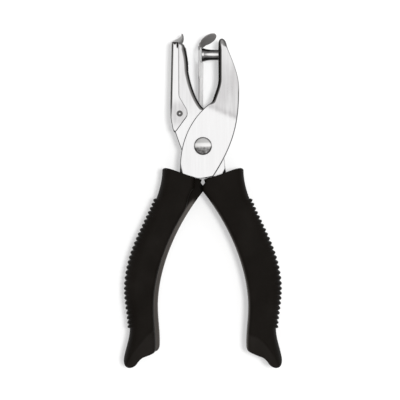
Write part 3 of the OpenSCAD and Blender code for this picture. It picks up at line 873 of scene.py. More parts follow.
# %% Rims of sheet
CUT_EDGE, FOLD_ROUND = 0.36, 1.6
FACE_LEAD, FLOOR_LEAD = 0.12, 0.08
ROUND_STEPS, EDGE_STEPS = 12, 4


def ring_marks(on_round):
    """A mark per ring: none on the face and the inner side, given on the round, full below."""
    return np.vstack([[[0]], on_round, np.ones((EDGE_STEPS + 1, 1)), [[0]]])


def rim_rings(outline, low, high, fold_round):
    """How far inward and how high each ring of the rim lies, and its marks for the dark paint of
    cuts and the painted shade of folds. On the round that is r(1 - sin a) inward and r(1 - cos a)
    down, with r from the cut edge to the fold, and on the edge below the same with the cut edge's
    radius."""
    _, fold, _, room = outline
    wish = CUT_EDGE + np.clip(fold, 0, 1) * (fold_round - CUT_EDGE)
    r = np.minimum(wish, 0.9 * room)[None]
    a = np.linspace(0, np.pi / 2, ROUND_STEPS)[:, None]
    b = np.linspace(0, np.pi / 2, EDGE_STEPS)[:, None]
    e, flat = CUT_EDGE, np.ones_like(r)
    base = np.minimum(low, high - r - e)
    inset = np.vstack([np.minimum(r + FACE_LEAD, room), r * (1 - np.sin(a)),
                       e * (1 - np.cos(b)) * flat, (e + FLOOR_LEAD) * flat,
                       np.clip(0.9 * room[None], e + FLOOR_LEAD, SHEET)])
    height = np.vstack([high * flat, high - r * (1 - np.cos(a)),
                        base + e * (1 - np.sin(b)), base, low * flat])
    steep = np.degrees(a)
    # Painted shade on the round of a fold: grey once it tilts a little, black where it is steep.
    fold_shade = 0.5 * smooth((steep - 2) / 10) + 0.5 * smooth((steep - 22) / 25)
    rim = ring_marks(smooth((steep - 3) / 10)) * np.maximum(1 - np.abs(fold), 0)[None]
    print("plate: edge rounds from", r.min().round(2), "to", r.max().round(2), "mm")
    return inset, height, rim, np.clip(ring_marks(fold_shade) * fold[None], 0, 1)


print("a rim has", ring_marks(np.zeros((ROUND_STEPS, 1))).size, "rings")

# %% Plates


def unshaded(u, v):
    """No painted shade anywhere."""
    return 0 * u


def add_plate(shape, outline, low, high, dish, dull, fold_round=FOLD_ROUND, painted_shade=unshaded,
              fine=np.zeros((0, 2))):
    """A plate between two depths and its twin on the rear. The functions dish, dull and
    painted_shade give how far the face sinks, how dull it is and how dark it is painted as shade
    at each point, and fine adds points where these change quickly."""
    line, _, inward, _ = outline
    inset, height, rim, folded = rim_rings(outline, low, high, fold_round)
    rings = line[None] + inset[..., None] * inward[None]
    net, triangles = face_triangles(rings[0], fine)
    points = np.vstack([np.dstack([rings, height]).reshape(-1, 3),
                        np.column_stack([net, np.full(len(net), high)])])
    u, v, depth = points.T.copy()
    sink = np.clip((depth - low) / (high - low), 0, 1)
    points[:, 2] -= sink * dish(u, v)
    on_net = np.zeros(len(net))
    folded = np.maximum(np.append(folded.ravel(), on_net), painted_shade(u, v) * (sink > 0))
    rows, columns = inset.shape
    offset = rows * columns - columns
    lid = [[i if i < columns else i + offset for i in triangle] for triangle in triangles]
    inner_side = np.arange(columns)[::-1] + offset
    faces = [*grid_faces(rows, columns, wrap_columns=True), *lid, inner_side]
    for sign in (1, -1):
        shape.add(points * [1, 1, sign], [face[::sign] for face in faces], fold=folded,
                  rim=np.append(rim.ravel(), on_net), dull=dull(u, v))
    return shape


print("plates come in pairs, front and rear")

# %% Walls
WALL_EDGE, WALL_INSET, WALL_DULL = 0.12, 0.02, 0.3


def add_wall(shape, line, thick, low, high):
    """A strip of sheet that stands on a line: a rounded oblong of (across, depth) carried along
    it, to its left where thick is positive."""
    line = np.asarray(line, float)
    left = left_of(unit(np.gradient(line, axis=0))) * np.sign(thick)
    e = WALL_EDGE
    a = np.radians(np.arange(0, 91, 30))
    corner = np.column_stack([np.cos(a), np.sin(a)]) * e
    near, far, bottom, top = WALL_INSET + e, abs(thick) - e, low + e, high - e
    section = np.vstack([corner + (far, top), corner[::-1] * [-1, 1] + (near, top),
                         -corner + (near, bottom), corner[::-1] * [1, -1] + (far, bottom)])
    flat = line[:, None] + section[None, :, :1] * left[:, None]
    depth = np.broadcast_to(section[None, :, 1:], (*flat.shape[:2], 1))
    return shape.grid(np.dstack([flat, depth]), wrap_columns=True, caps=True, flip=thick > 0,
                      dull=WALL_DULL)


print("walls have edges of", WALL_EDGE, "mm")

# %% [markdown]
# Each lever ends in a tang, a narrow tail of the same sheet that is pushed into its grip. It
# could be drawn with points of its own, but laid between two shares of the grip's width it keeps
# to the grip's curve. The left one is its mirror image.

# %% Tangs
TANG_NEAR, TANG_FAR, TANG_END = 0.31, 0.57, 0.5
tang_t = np.linspace(0, TANG_END, 24)
tang_outer = across(tang_t, TANG_FAR * grip_width(tang_t))
tang_inner = across(tang_t, TANG_NEAR * grip_width(tang_t))
print("tang at the grip's top:", np.round(tang_inner[0], 2), np.round(tang_outer[0], 2))

# %% [markdown]
# The punch lever is the outer of the two: it makes the right jaw and the left handle, and its
# wide front plate carries the rivet. Its jaw is folded along the throat, its tang along the
# back of the handle, and the crown of the jaw rolls over. A shallow joggle crosses the plate
# below the jaw, where the sheet steps in. A Bevel modifier would round all edges alike, so each
# stretch of the outline carries a number instead, which says how far it is cut or folded.

# %% Punch lever outline
PUNCH_OUT = 7.5
PUNCH_IN = PUNCH_OUT - SHEET
PUNCH_V, WALL_U = 41.5, 6.95
WALL_TOP, JAW_TOP, WALL_BEND = PUNCH_V + 4.6, PUNCH_V + 6.8, PUNCH_V - 11
WALL_FOOT = (WALL_U - 2.85, 19.8)
PUNCH_BELLY = (16.2, PUNCH_V - 15.5)
SHOULDER = (WALL_U + 3.85, PUNCH_V + 3)
HEEL, HIP = (4.7, -13.55), (-10.2, -8.6)
NECK_DIP = np.array([0, -0.3])


def curve(corners, count=24):
    """A cubic curve as a list of points."""
    return bend(corners, np.linspace(0, 1, count))


def mirrored(points):
    """The mirror image across the middle line."""
    return np.asarray(points) * [-1, 1]


wall_line = np.vstack([[(WALL_U, WALL_TOP)], curve([
    (WALL_U, WALL_BEND), (WALL_U + 0.25, WALL_BEND - 3), (WALL_U - 1.75, WALL_BEND - 7),
    WALL_FOOT])])
jaw_crown = curve([(WALL_U, WALL_TOP), (WALL_U + 0.05, JAW_TOP + 1.2),
                   (SHOULDER[0] - 0.4, JAW_TOP + 0.9), SHOULDER])
punch_back = curve([SHOULDER, (13.2, PUNCH_V - 3), (16.2, PUNCH_V - 9.5), PUNCH_BELLY])
punch_hip = curve([PUNCH_BELLY, (16.3, 11), (14.2, 1), HEEL])
punch_arc = curve([HIP, (-9.8, 5), (-3.5, 14.5), WALL_FOOT], 40)
punch_bottom = [(1.2, -14.2), (0, -14.35), (-2.2, -14.5), mirrored(tang_inner[0]) + NECK_DIP]
punch_outline = joined(
    (jaw_crown, 0.75), (punch_back, -0.45), (punch_hip, 0.12), (punch_bottom, -1),
    (mirrored(tang_inner), 0), (mirrored(tang_outer[:-4:-1]), 0),
    (mirrored(tang_outer[-4::-1]), 1), (punch_arc, 0), (wall_line[::-1], 1.6))
print("punch lever outline:", len(punch_outline[0]), "points")

# %% Punch lever sheet
JOGGLE_U, JOGGLE_SLOPE, DULL_SLOPE = 4, 0.4, 0.42
ROLL_WIDTH, ROLL_FADE, ROLL_SHADE = 2.4, 0.8, 0.44


def punch_dish(u, v):
    """The plate sinks above a slanted line, the joggle, and falls off gently to its edges."""
    joggle = smooth((v - 16 + JOGGLE_SLOPE * (u - JOGGLE_U)) / 6) * 0.10
    bow = 0.10 * smooth((u - JOGGLE_U) / 12) + 0.12 * smooth((v - 30) / 18)
    return joggle + bow


def punch_dull_and_shade(u, v):
    """Brushed duller above the joggle and painted darker there as shade, most along its lower
    edge, and less towards the crown.
    """
    slant = v + DULL_SLOPE * (u - JOGGLE_U)
    band = np.exp(-((slant - 17.6) / 1.4) ** 2)
    return 0.12 + smooth((slant - 15.2) / 2.5) * (0.58 + 0.3 * band - 0.3 * smooth((v - 30) / 14))


def punch_crown_shade(u, v):
    """Painted shade: a grey band on the roll along the crown of the jaw, told by the distance
    from its edge.
    """
    away = nearest(np.column_stack([u, v]), jaw_crown[3:-4])
    return ROLL_SHADE * smooth((ROLL_WIDTH - away) / ROLL_FADE)


crown_net = even_net((7.2, 42.5), (12.5, 49), 0.33)
punch_sheet = add_plate(Shape(), punch_outline, PUNCH_IN, PUNCH_OUT, punch_dish, punch_dull_and_shade,
                        FOLD_ROUND, punch_crown_shade, crown_net)
add_wall(punch_sheet, wall_line, SHEET, -PUNCH_IN, PUNCH_IN)
add_wall(punch_sheet, np.vstack([[HIP], mirrored(tang_outer)]), SHEET, -PUNCH_IN, PUNCH_IN)
punch_sheet.piece("punch_lever_sheet", "punch_side", "punch_lever", "bright_steel", nickel)

# %% [markdown]
# The die lever nests inside the punch lever. Its left jaw is folded along the throat, and the
# fold carries the die high up. Below the die the fold is slotted, so that the stripper leaf can
# reach down to the pivot between its two flanges. A Boolean could cut the die's hole, but rays
# from the middle of the hole give a clean ring of faces and a softened rim.

# %% Die lever outline
NEST_GAP, CUT_ANGLE, PUNCH_REACH = 0.15, 9.0, 7.55
DIE_OD, DIE_PROUD, DIE_SWELL, DIE_FOLD = 9.0, 0.5, 0.45, 2.0
DIE_OUT = PUNCH_IN - NEST_GAP
DIE_IN = DIE_OUT - SHEET
CATCH_BACK, CATCH_SHEET, PASS_GAP = -14.6, 0.7, 0.1
THROAT_FOOT, DIE_HIP = (0.85, 16.6), (9.9, -8.6)
wall_up, wall_down = DIE_OD / 2 + 0.2, DIE_OD / 2 + 2.4


def turn(point, degrees):
    """A point turned about the pivot."""
    a = np.radians(degrees)
    return np.array([point[0] * np.cos(a) - point[1] * np.sin(a),
                     point[0] * np.sin(a) + point[1] * np.cos(a)])


die_face = turn((WALL_U - PUNCH_REACH, PUNCH_V), CUT_ANGLE)
die_out_way, die_up = turn((1, 0), CUT_ANGLE), turn((0, 1), CUT_ANGLE)
die_wall_mid = die_face - DIE_PROUD * die_out_way
die_wall_top = die_wall_mid + wall_up * die_up
die_wall_foot = die_wall_mid - wall_down * die_up
die_back = CATCH_BACK + CATCH_SHEET + PASS_GAP + 0.7
die_nose = die_wall_top + [-1.6, 1.5]
die_start = np.array([die_back, die_nose[1] - 0.4])
die_crown = curve([die_start, (die_back + 0.7 * (die_nose[0] - die_back), die_nose[1]),
                   die_nose, die_wall_top])
swell_run = np.linspace(0, 1, 24)[:, None]
die_swell = (die_wall_top + swell_run * (die_wall_foot - die_wall_top)
             + DIE_SWELL * np.sin(np.pi * swell_run) * die_out_way)
die_throat = curve([die_wall_foot, die_wall_foot - 3 * die_up, (-4, 21), THROAT_FOOT], 40)
die_arc = curve([THROAT_FOOT, (6.5, 12), (9.4, 4), DIE_HIP])
die_bottom = [tang_inner[0] + NECK_DIP, (2.2, -14.5), (0, -14.25), (-1.2, -13.9)]
die_rear = curve([(-4.4, -12.6), (-7, -8), (-9.5, -2.5), (-12.1, 5.2)])
die_outline = joined(
    (die_crown, 0.5), (die_swell, 1), (die_throat, 1), (die_arc[:-6], 0), (die_arc[-6:], -0.8),
    (tang_outer[:-3], 1), (tang_outer[-3:], 0), (tang_inner[::-1], 0), (die_bottom, -1),
    (die_rear, 0), ([(die_back, 8)], 0))
print("die lever outline:", len(die_outline[0]), "points")

# %% Holed wall
RAY_STEPS = 96


def full_turn(count):
    """Even angles round a circle."""
    return np.linspace(0, 2 * np.pi, count, endpoint=False)


def there_and_back(values, back):
    """A row of values, followed by another row backwards."""
    return np.concatenate([values, back[::-1]])


def holed_rays(hole, down, up, half, shares):
    """Rays from the middle of a hole to the edge of an oblong that reaches down, up and half to
    both sides, out on the near face and back on the far one. A share of 0 is on the hole's rim
    and 1 on the edge. Gives how far up and how far aside each point is."""
    a = full_turn(RAY_STEPS)
    ray_up, ray_aside = np.cos(a)[:, None], np.sin(a)[:, None]
    with np.errstate(divide="ignore"):
        far = np.minimum(np.abs(np.where(ray_up > 0, up, down) / ray_up), np.abs(half / ray_aside))
    radius = hole + (far - hole) * there_and_back(shares, shares)
    return radius * ray_up, radius * ray_aside


def add_holed_wall(shape, hole, half_depth):
    """The die's wall: a grid of rays and levels, closed both ways, so that it is a ring."""
    shares = np.array([0, 0.06, 0.4, 0.8, 0.97, 1.0])
    near = np.array([0.12, 0.02, 0.02, 0.02, 0.02, 0.12])
    level = there_and_back(near, SHEET - near)[None, :, None]
    up, depth = holed_rays(hole, wall_down, wall_up, half_depth, shares)
    flat = die_wall_mid + up[..., None] * die_up - level * die_out_way
    return shape.grid(np.dstack([flat, depth]), wrap_rows=True, wrap_columns=True, flip=True,
                      dull=WALL_DULL)


print("the die's wall is", round(wall_up + wall_down, 1), "mm long")

# %% Die lever sheet
LEAF_NECK = 7.4


def die_dish(u, v):
    """A slight hollow along the jaw and a fall towards its nose."""
    return 0.08 * smooth((v - 10) / 20) + 0.10 * smooth((v - 34) / 12)


def die_dull(u, v):
    """A little duller up the jaw than by the rivet."""
    return 0.08 + 0.30 * smooth((v - 10) / 12)


die_sheet = add_plate(Shape(), die_outline, DIE_IN, DIE_OUT, die_dish, die_dull, DIE_FOLD)
add_holed_wall(die_sheet, DIE_OD / 2 + 0.02, DIE_IN)
slot_half = LEAF_NECK / 2 + 0.45
for flange in ((slot_half, DIE_IN), (-DIE_IN, -slot_half)):
    add_wall(die_sheet, die_throat, -SHEET, *flange)
add_wall(die_sheet, np.vstack([[DIE_HIP], tang_outer]), -SHEET, -DIE_IN, DIE_IN)
die_sheet.piece("die_lever_sheet", "die_side", "die_lever", "bright_steel", nickel)

# %% [markdown]
# The chip catcher is a thin bent cover on the back of the die jaw. Its two flanks hinge on small
# hollow rivets, its back closes the jaw, and a curled lip at the top is what the thumb lifts.
# The lip could be bent from a flat sheet by modifiers, but a path swept over the depth gives its
# spoon shape in one formula.

# %% Catcher outline
FLANK_WIDTH, FLANK_FOLD = 3.8, 0.95
CATCH_IN = DIE_OUT + PASS_GAP
CATCH_OUT = CATCH_IN + CATCH_SHEET
catch_pivot = np.array([CATCH_BACK + 4.2, 14.6])
catch_top = die_nose[1] - 0.2
catch_wall_top = np.array([CATCH_BACK + 0.6, catch_top])
catch_wall_foot = np.array([CATCH_BACK, 17.9])
flank_u = CATCH_BACK + FLANK_WIDTH
flank_top = [catch_wall_top + (0.6, 0), (flank_u - 1.4, catch_top)]
flank_side = [(flank_u, catch_top), (flank_u + 0.1, 22.4), catch_pivot + (3.4, 1.6),
              catch_pivot + (3.55, -0.8)]
flank_edge = catch_pivot + [(3.2, -1.4), (-1.9, -8.4), (-3, -7.6), (-4.1, -2)]
back_line = np.linspace(catch_wall_foot, catch_wall_top, 12)
flank_outline = joined((back_line, 1), (flank_top, 0.9), (flank_side, -0.6), (flank_edge, 0))
print("catcher outline:", len(flank_outline[0]), "points")

# %% Catcher face
SLOT_AT, SLOT_HALF = np.array([-11.45, 45.5]), (0.36, 1.6)
PINCH_AT, PINCH_HALF = SLOT_AT + [-1.2, 0.9], (0.75, 0.75)


def oval(u, v, at, half):
    """Distance from a place, measured in half widths, so that 1 is an oval round it."""
    return np.hypot((u - at[0]) / half[0], (v - at[1]) / half[1])


def flank_slot_shade(u, v):
    """Painted shade: a narrow slot beside the lip and the pinched corner left of it, both painted
    dark inside.
    """
    slot = smooth((1.25 - oval(u, v, SLOT_AT, SLOT_HALF)) / 0.5)
    pinch = smooth((1.3 - oval(u, v, PINCH_AT, PINCH_HALF)) / 0.6)
    return np.maximum(slot, 0.9 * pinch)


def flank_dish(u, v):
    """Thin sheet dents a little around its rivet, and sinks in the slot."""
    dent = 0.10 * smooth((oval(u, v, catch_pivot, (1, 1)) - 1.6) / 4) * smooth((26 - v) / 6)
    return dent + 0.05 * smooth((v - 30) / 15) + 0.4 * flank_slot_shade(u, v)


def flank_dull(u, v):
    """Duller and greyer round the rivet."""
    return 0.12 + 0.5 * smooth((8 - oval(u, v, catch_pivot, (1, 1))) / 5)


slot_net = even_net((-2.2, -2.6), (1.01, 2.01), 0.2) + SLOT_AT
print("fine points at the slot:", len(slot_net))

# %% Catcher sheet
LIP_STEPS, LIP_FALL = 21, 9.5


def add_lip(shape):
    """The lip: a curled path swept over the depth, with its edges falling away as the square of
    the depth, like the bowl of a spoon."""
    path = curve(catch_wall_top + [(0, 0), (0.7, 2.4), (3.6, 1.2), (4.3, 4.15)], 30)
    left = left_of(unit(np.gradient(path, axis=0)))
    s = np.linspace(0, 1, len(path))
    half_wide = (DIE_IN - 0.1) * np.sqrt(np.clip(1 - 0.75 * s ** 3, 0, 1))
    k = np.linspace(-1, 1, LIP_STEPS)
    k = there_and_back(k, k)
    level = np.repeat([0.02, -CATCH_SHEET], LIP_STEPS)
    level[[0, LIP_STEPS - 1, LIP_STEPS, -1]] *= [4, 4, 0.85, 0.85]
    fall = LIP_FALL * (s * (1 - s))[:, None] * k[None] ** 2
    flat = path[:, None] + (level[None] - fall)[..., None] * left[:, None]
    # The fold mark paints the lip smoky grey as shade.
    return shape.grid(np.dstack([flat, half_wide[:, None] * k[None]]), wrap_columns=True,
                      caps=True, flip=True, dull=0.4, fold=0.37)


catch_sheet = add_plate(Shape(), flank_outline, CATCH_IN, CATCH_OUT, flank_dish, flank_dull,
                        FLANK_FOLD, flank_slot_shade, slot_net)
add_wall(catch_sheet, back_line, -CATCH_SHEET, -CATCH_IN, CATCH_IN)
add_lip(catch_sheet)
catch_sheet.piece("chip_catcher_sheet", "catcher", "chip_catcher", "bright_steel", nickel)

# %% [markdown]
# The punch, the die, the rivets, the washer and the sleeve are turned on a lathe: each is a
# profile of radius and height carried round an axis. The corners are broken with short rounds
# so that they catch the light. A Screw modifier could turn them too, but a grid can also store
# the way along the profile, which drives the turning rings of the finish.

# %% Lathe
TURN_STEPS, RINGS_PER_MM = 96, 14


def rounded(profile, radius):
    """Each corner of an open profile becomes three points, radius short of it on both sides."""
    p = np.asarray(profile, float)
    before, corner, after = p[:-2], p[1:-1], p[2:]
    d1, d2 = (np.linalg.norm(end - corner, axis=1)[:, None] for end in (before, after))
    r = np.minimum(radius, 0.45 * np.minimum(d1, d2))
    start, end = corner + (before - corner) / d1 * r, corner + (after - corner) / d2 * r
    knee = 0.25 * start + 0.5 * corner + 0.25 * end
    three = np.stack([start, knee, end], axis=1).reshape(-1, 2)
    return np.vstack([p[:1], three, p[-1:]])


def add_turned(shape, profile, radius=0.12, closed=False, origin=(0, 0, 0), axis=(0, 0, 1),
               side=(1, 0, 0)):
    """A profile of (radius, height) turned about an axis through origin: its points lie at the
    radius times a turning direction plus the height times the axis."""
    p = rounded(np.vstack([profile, profile[:1]]) if closed else profile, radius)
    if closed:
        p = p[:-1]
    axis, side = np.asarray(axis, float), np.asarray(side, float)
    a = full_turn(TURN_STEPS)[:, None]
    ring = np.cos(a) * side + np.sin(a) * np.cross(axis, side)
    r = np.maximum(p[:, 0], 1e-4)[:, None, None]
    points = np.asarray(origin)[None, None] + r * ring[None] + p[:, 1][:, None, None] * axis
    return shape.grid(points, wrap_rows=closed, wrap_columns=True, caps=not closed,
                      flip=True, turning=run_along(p)[:, None] * RINGS_PER_MM)


def turned_piece(node, body, slot, finish, profile, **how):
    """One turned piece, named after the solid it stands for."""
    add_turned(Shape(), profile, **how).piece(node + "_turned", body, node, slot, finish)


def tube_profile(inner, outer, low, high):
    """The profile of a plain ring or tube."""
    return [(inner, low), (outer, low), (outer, high), (inner, high)]


print("lathe ready,", TURN_STEPS, "steps to a turn")

# %% [markdown]
# The punch is a pin with a head behind the jaw's wall and a thinner shank, which flares with the
# square of the way to the full width of the hole. Its hollow end cuts. It enters the die, a
# hardened ring with a bore a little wider, that is let into the other jaw.

# %% Punch and die
PUNCH_D, SHANK_D, SEAT, FLARE, LAND = 6.0, 4.7, 0.02, 5.0, 0.9
DIE_GAP = 0.25
punch_r, shank_r = PUNCH_D / 2, SHANK_D / 2
from_tip = np.linspace(FLARE, LAND, 10)[1:]
flare = 1 - (from_tip - LAND) / (FLARE - LAND)
punch_profile = np.vstack([
    [(0, -SHEET - 1 - SEAT), (shank_r + 0.3, -SHEET - 1 - SEAT), (shank_r + 0.9, -SHEET - 0.5),
     (shank_r + 0.9, -SHEET - SEAT), (shank_r, -SHEET - SEAT), (shank_r, PUNCH_REACH - FLARE)],
    np.column_stack([shank_r + (punch_r - shank_r) * flare ** 2, PUNCH_REACH - from_tip]),
    [(punch_r, PUNCH_REACH), (punch_r - 0.4, PUNCH_REACH), (0, PUNCH_REACH - 1.2)]])
turned_piece("punch_pin", "punch_side", "tool_steel", tool_steel, punch_profile,
             origin=(WALL_U, PUNCH_V, 0), axis=(-1, 0, 0), side=(0, 1, 0))

bore, die_r, die_long = punch_r + DIE_GAP, DIE_OD / 2, DIE_PROUD + SHEET + 0.6
die_profile = [(bore, 0), (die_r - 0.8, 0), (die_r, DIE_PROUD), (die_r, die_long),
               (bore + 0.5, die_long), (bore, 1)]
turned_piece("die_bush", "die_side", "tool_steel", dark_steel, die_profile,
             radius=0.08, closed=True, origin=(*die_face, 0), axis=(*-die_out_way, 0),
             side=(*die_up, 0))

# %% [markdown]
# The main rivet has a wide, slightly domed head in front, and is peened over a washer behind. A
# sleeve round its stem keeps the plates apart and leaves room for the leaf's eye and the spring.

# %% Main rivet, washer and sleeve
PIVOT_D, HEAD_D, HEAD_H, WASHER, BUSH_D, DOME = 5.0, 8.0, 1.3, 0.5, 7.0, 0.28
head_r, stem_r = HEAD_D / 2, PIVOT_D / 2
head_top, rivet_foot, peen = PUNCH_OUT + HEAD_H, -PUNCH_OUT - WASHER, HEAD_H - WASHER
dome_run = np.linspace(1, 0, 12)
rivet_profile = np.vstack([
    [(0, rivet_foot - peen), (stem_r + 0.2, rivet_foot - peen),
     (stem_r + 0.9, rivet_foot - peen / 2), (stem_r + 0.9, rivet_foot - SEAT),
     (stem_r, rivet_foot - SEAT), (stem_r, PUNCH_OUT + SEAT), (head_r, PUNCH_OUT + SEAT),
     (head_r, head_top - 0.55)],
    np.column_stack([(head_r - 0.3) * dome_run, head_top - DOME * dome_run ** 2])])
turned_piece("pivot_rivet", "punch_side", "tool_steel", rivet_steel, rivet_profile)

turned_piece("pivot_washer", "punch_side", "bright_steel", tool_steel,
             tube_profile(stem_r + SEAT, head_r, rivet_foot, -PUNCH_OUT - SEAT),
             radius=0.1, closed=True)

bush_half = DIE_IN - PASS_GAP
turned_piece("pivot_bush", "punch_side", "tool_steel", tool_steel,
             tube_profile(stem_r + SEAT, BUSH_D / 2, -bush_half, bush_half),
             radius=0.15, closed=True)

# %% [markdown]
# Two small hollow rivets hinge the catcher, one through each flank. They are one profile, turned
# once towards the front and once towards the rear.

# %% Catcher rivets
RIVET_D = 1.8
small_r = RIVET_D / 2
small_head, hollow, tail, rim_foot = small_r + 0.5, small_r * 0.45, DIE_IN - 0.5, CATCH_OUT + 0.05
small_profile = [
    (hollow, tail), (small_head, tail), (small_head, DIE_IN - SEAT), (small_r, DIE_IN - SEAT),
    (small_r, rim_foot), (small_head, rim_foot), (small_head - 0.15, CATCH_OUT + 0.45),
    (hollow + 0.2, CATCH_OUT + 0.45), (hollow, CATCH_OUT + 0.25)]
rivets = Shape()
for front in (1, -1):
    add_turned(rivets, small_profile, 0.1, True, (*catch_pivot, 0), (0, 0, front))
rivets.piece("catcher_rivets_turned", "die_side", "catcher_rivets", "tool_steel", dark_steel)

# %% [markdown]
# The stripper leaf is a strip of spring steel that hangs from the pivot between punch and die.
# The punch passes through a hole in its head, and above the fold an oval tongue leans over. As in
# a workshop the strip is laid out flat first, then its tongue is rolled over the fold line, and
# the whole is twisted a little. A formula does the roll, because the fold line is slanted.

# %% Leaf place
LEAF_T, LEAF_HEAD, LEAF_U, LEAF_TWIST = 0.5, 8.4, -0.9, 13.0
leaf_hole = ((PUNCH_D + 2 * DIE_GAP) / np.cos(np.radians(LEAF_TWIST)) + 0.1) / 2
fold_y = leaf_hole + 0.8
leaf_split = fold_y + 6


def from_leaf(points):
    """From the leaf's own axes, x through it, y along it and z across it: turned by its twist
    about its length and moved to its place beside the punch."""
    a = np.radians(-LEAF_TWIST)
    x, y, z = np.moveaxis(np.asarray(points, float), -1, 0)
    return np.stack([x * np.cos(a) + z * np.sin(a) + LEAF_U, y + PUNCH_V,
                     z * np.cos(a) - x * np.sin(a)], axis=-1)


print("the leaf's hole is", round(2 * leaf_hole, 2), "mm wide")

# %% Leaf strip and roll
STRIP_EDGE, TONGUE_FOLD, TONGUE_SLANT, FOLD_R = 0.16, 58.0, 19.0, 0.7


def strip_points(y, half, middle):
    """A thin oblong with softened edges carried along y, of a half width about a middle, and a
    mark on the cut edge at the front."""
    k = np.array([1, 1, 1, 0.5, 0, -0.5, -1, -1, -1])
    lift = np.array([0, 0.6, 1, 1, 1, 1, 1, 0.6, 0]) * LEAF_T / 2
    trim = np.array([0, 0.3, 1, 0, 0, 0, 1, 0.3, 0]) * STRIP_EDGE
    wide = half[:, None] * k[None] - np.sign(k) * trim + middle[:, None]
    wide = np.hstack([wide, wide[:, ::-1][:, 1:-1]])
    through = np.concatenate([lift, -lift[::-1][1:-1]])
    edge = np.where(np.abs(through) < LEAF_T / 2, 0.85, 0) * (wide > middle[:, None])
    return np.stack(np.broadcast_arrays(through, y[:, None], wide), axis=-1), edge


def rolled(points):
    """Bends the flat strip about the slanted fold line: a point d beyond the line goes round an
    arc until it has turned by the fold, and on straight from there."""
    slant, fold = np.radians(TONGUE_SLANT), np.radians(TONGUE_FOLD)
    x, y, z = np.moveaxis(np.asarray(points, float), -1, 0)
    y = y - fold_y
    d = y * np.cos(slant) - z * np.sin(slant)
    e = y * np.sin(slant) + z * np.cos(slant)
    half_arc = FOLD_R * fold / 2
    part = np.clip((d + half_arc) / FOLD_R, 0, fold)
    rest = np.maximum(d - half_arc, 0)
    r = FOLD_R - x
    out = FOLD_R - r * np.cos(part) + rest * np.sin(part)
    up = np.minimum(d, -half_arc) + r * np.sin(part) + rest * np.cos(part)
    return np.stack([out, fold_y + up * np.cos(slant) + e * np.sin(slant),
                     -up * np.sin(slant) + e * np.cos(slant)], axis=-1)


print("the tongue rolls over by", TONGUE_FOLD, "degrees")

# %% Leaf head
# A dull below zero makes the leaf smoother and lighter than plain plate, partly as painted light.
LEAF_DULL, HEAD_SHADE_FROM, HEAD_SHADE_SLANT = -0.3, 1.4, 0.7
leaf = Shape()
head_shares = np.array([0, 0.05, 0.5, 0.95, 1.0])
head_face = np.array([0.12, LEAF_T / 2, LEAF_T / 2, LEAF_T / 2, 0.12])
head_level = there_and_back(head_face, -head_face)
head_y, head_z = holed_rays(leaf_hole, leaf_split, fold_y - 0.6, LEAF_HEAD / 2, head_shares)
head_points = np.stack(np.broadcast_arrays(head_level, head_y, head_z), axis=-1)
head_edge = np.where(np.abs(head_level) < LEAF_T / 2, 0.5, 0)
# Painted shade: the top of the head, beside the punch, goes grey through the tongue mark.
head_shade = smooth((head_y - HEAD_SHADE_FROM - HEAD_SHADE_SLANT * (LEAF_HEAD / 2 - head_z)) / 0.8)
leaf.grid(from_leaf(head_points), wrap_rows=True, wrap_columns=True, flip=True, dull=LEAF_DULL,
          rim=head_edge, tongue=0.8 * head_shade)
print("leaf head:", leaf.count, "points")

# %% Leaf neck and eye
EYE_W, EYE_GAP, WIRE_D, COIL_D = 2.2, 0.05, 1.1, 9.2
eye_z = -DIE_IN + PASS_GAP + EYE_W / 2
eye_inner = BUSH_D / 2 + EYE_GAP
eye_outer = eye_inner + LEAF_T + 0.4
taper = PUNCH_V - COIL_D / 2 - WIRE_D - 4
neck_foot = PUNCH_V - BUSH_D / 2 - 0.4
neck_y = np.concatenate([np.linspace(-leaf_split + 0.3, -taper, 30),
                         np.linspace(-taper, -neck_foot, 24)[1:]])
share = smooth((-neck_y - leaf_split) / 1.5)
narrow = smooth((-neck_y - taper) / 2)
neck_half = (LEAF_HEAD * (1 - share) + LEAF_NECK * share) / 2
neck_points, neck_edge = strip_points(neck_y, neck_half * (1 - narrow) + EYE_W / 2 * narrow,
                                      eye_z * narrow)
leaf.grid(from_leaf(neck_points), wrap_columns=True, caps=True, dull=LEAF_DULL, rim=neck_edge)
add_turned(leaf, tube_profile(eye_inner, eye_outer, eye_z - EYE_W / 2, eye_z + EYE_W / 2), 0.1,
           True)
print("leaf with its neck and eye:", leaf.count, "points")

# %% Leaf tongue
TONGUE_R, TONGUE_OUT, STEM_W, STEM_LONG, TIP_HALF = 3.98, 4.55, 5.0, 2.2, 0.2
from_fold = np.concatenate([
    np.linspace(-1.0, 0.9, 26),
    TONGUE_OUT - TONGUE_R * np.cos(np.linspace(0.55, np.pi - 0.02, 48))])
circle = np.sqrt(np.clip(TONGUE_R ** 2 - (from_fold - TONGUE_OUT) ** 2, 0, None))
stem = np.where(from_fold < STEM_LONG, STEM_W / 2, TIP_HALF)
tongue_points, _ = strip_points(fold_y + from_fold, np.maximum(circle, stem), 0 * from_fold)
# The tongue is painted grey, as the darker reflection its leaning face shows.
grey = smooth((from_fold + 1.2) / 0.6)[:, None]
leaf.grid(from_leaf(rolled(tongue_points)), wrap_columns=True, caps=True, flip=True, tongue=grey)
leaf.piece("stripper_leaf_strip", "stripper", "stripper_leaf", "spring_steel", strip_steel)

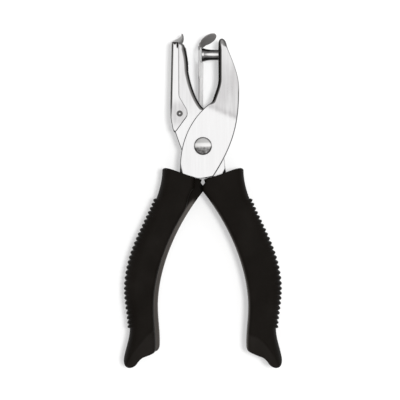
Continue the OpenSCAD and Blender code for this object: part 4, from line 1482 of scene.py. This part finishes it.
# %% [markdown]
# The return spring is wound round the sleeve, with a leg against the back of each tang. It is a
# circle carried along a path: a straight leg, the turns and the other leg. A bevelled curve could
# do that too, but here the circle's own upright is worked out at each point, so that the wire
# never twists. One end moves with each lever, but the wire hangs on neither and stays where it is.

# %% Spring path
COIL_PITCH, LEG_STEPS, COIL_STEPS = 1.65, 30, 200
coil_r = COIL_D / 2
leg_t = np.array([0.1])
leg_seat = SHEET + WIRE_D / 2 + 0.4
leg_end = across(leg_t, TANG_FAR * grip_width(leg_t))[0] - [leg_seat, 0]
swing = np.degrees(np.arccos(coil_r / np.hypot(*leg_end)))
leg_aim = np.degrees(np.arctan2(leg_end[1], leg_end[0]))
coil_from, coil_to = leg_aim + swing, 180 - leg_aim - swing + 720
turns = np.radians(np.linspace(coil_from, coil_to, COIL_STEPS))
spring_low = eye_z + EYE_W / 2 + PASS_GAP + WIRE_D / 2
rise = spring_low + COIL_PITCH * (np.degrees(turns) - coil_from) / 360
coil = np.column_stack([coil_r * np.cos(turns), coil_r * np.sin(turns), rise])
leg = np.linspace(0, 1, LEG_STEPS, endpoint=False)[:, None]
first_end, last_end = np.append(leg_end, rise[0]), np.append(mirrored(leg_end), rise[-1])
spring_path = np.vstack([first_end + leg * (coil[0] - first_end), coil,
                         coil[-1] + (leg + 1 / LEG_STEPS) * (last_end - coil[-1])])
print("spring: least gap between turns", round(COIL_PITCH - WIRE_D, 2), "mm")

# %% Spring wire
WIRE_STEPS = 14
spring_way = unit(np.gradient(spring_path, axis=0))
wire_out = unit(np.cross(spring_way, [0, 0, 1.0]))
wire_up = np.cross(wire_out, spring_way)
wire_turn = full_turn(WIRE_STEPS)[None, :, None]
wire = spring_path[:, None] + WIRE_D / 2 * (np.cos(wire_turn) * wire_out[:, None]
                                            + np.sin(wire_turn) * wire_up[:, None])
return_spring = Shape().grid(wire, wrap_columns=True, caps=True, dull=0.6).piece(
    "return_spring_wire", None, "return_spring", "spring_steel", strip_steel)
high_end = PIVOT + [0, 0, rise[-1] * MM]
low_end = PIVOT + [0, 0, rise[0] * MM]
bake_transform(return_spring)
print("spring blended over", round((rise[-1] - rise[0]), 2), "mm of height")
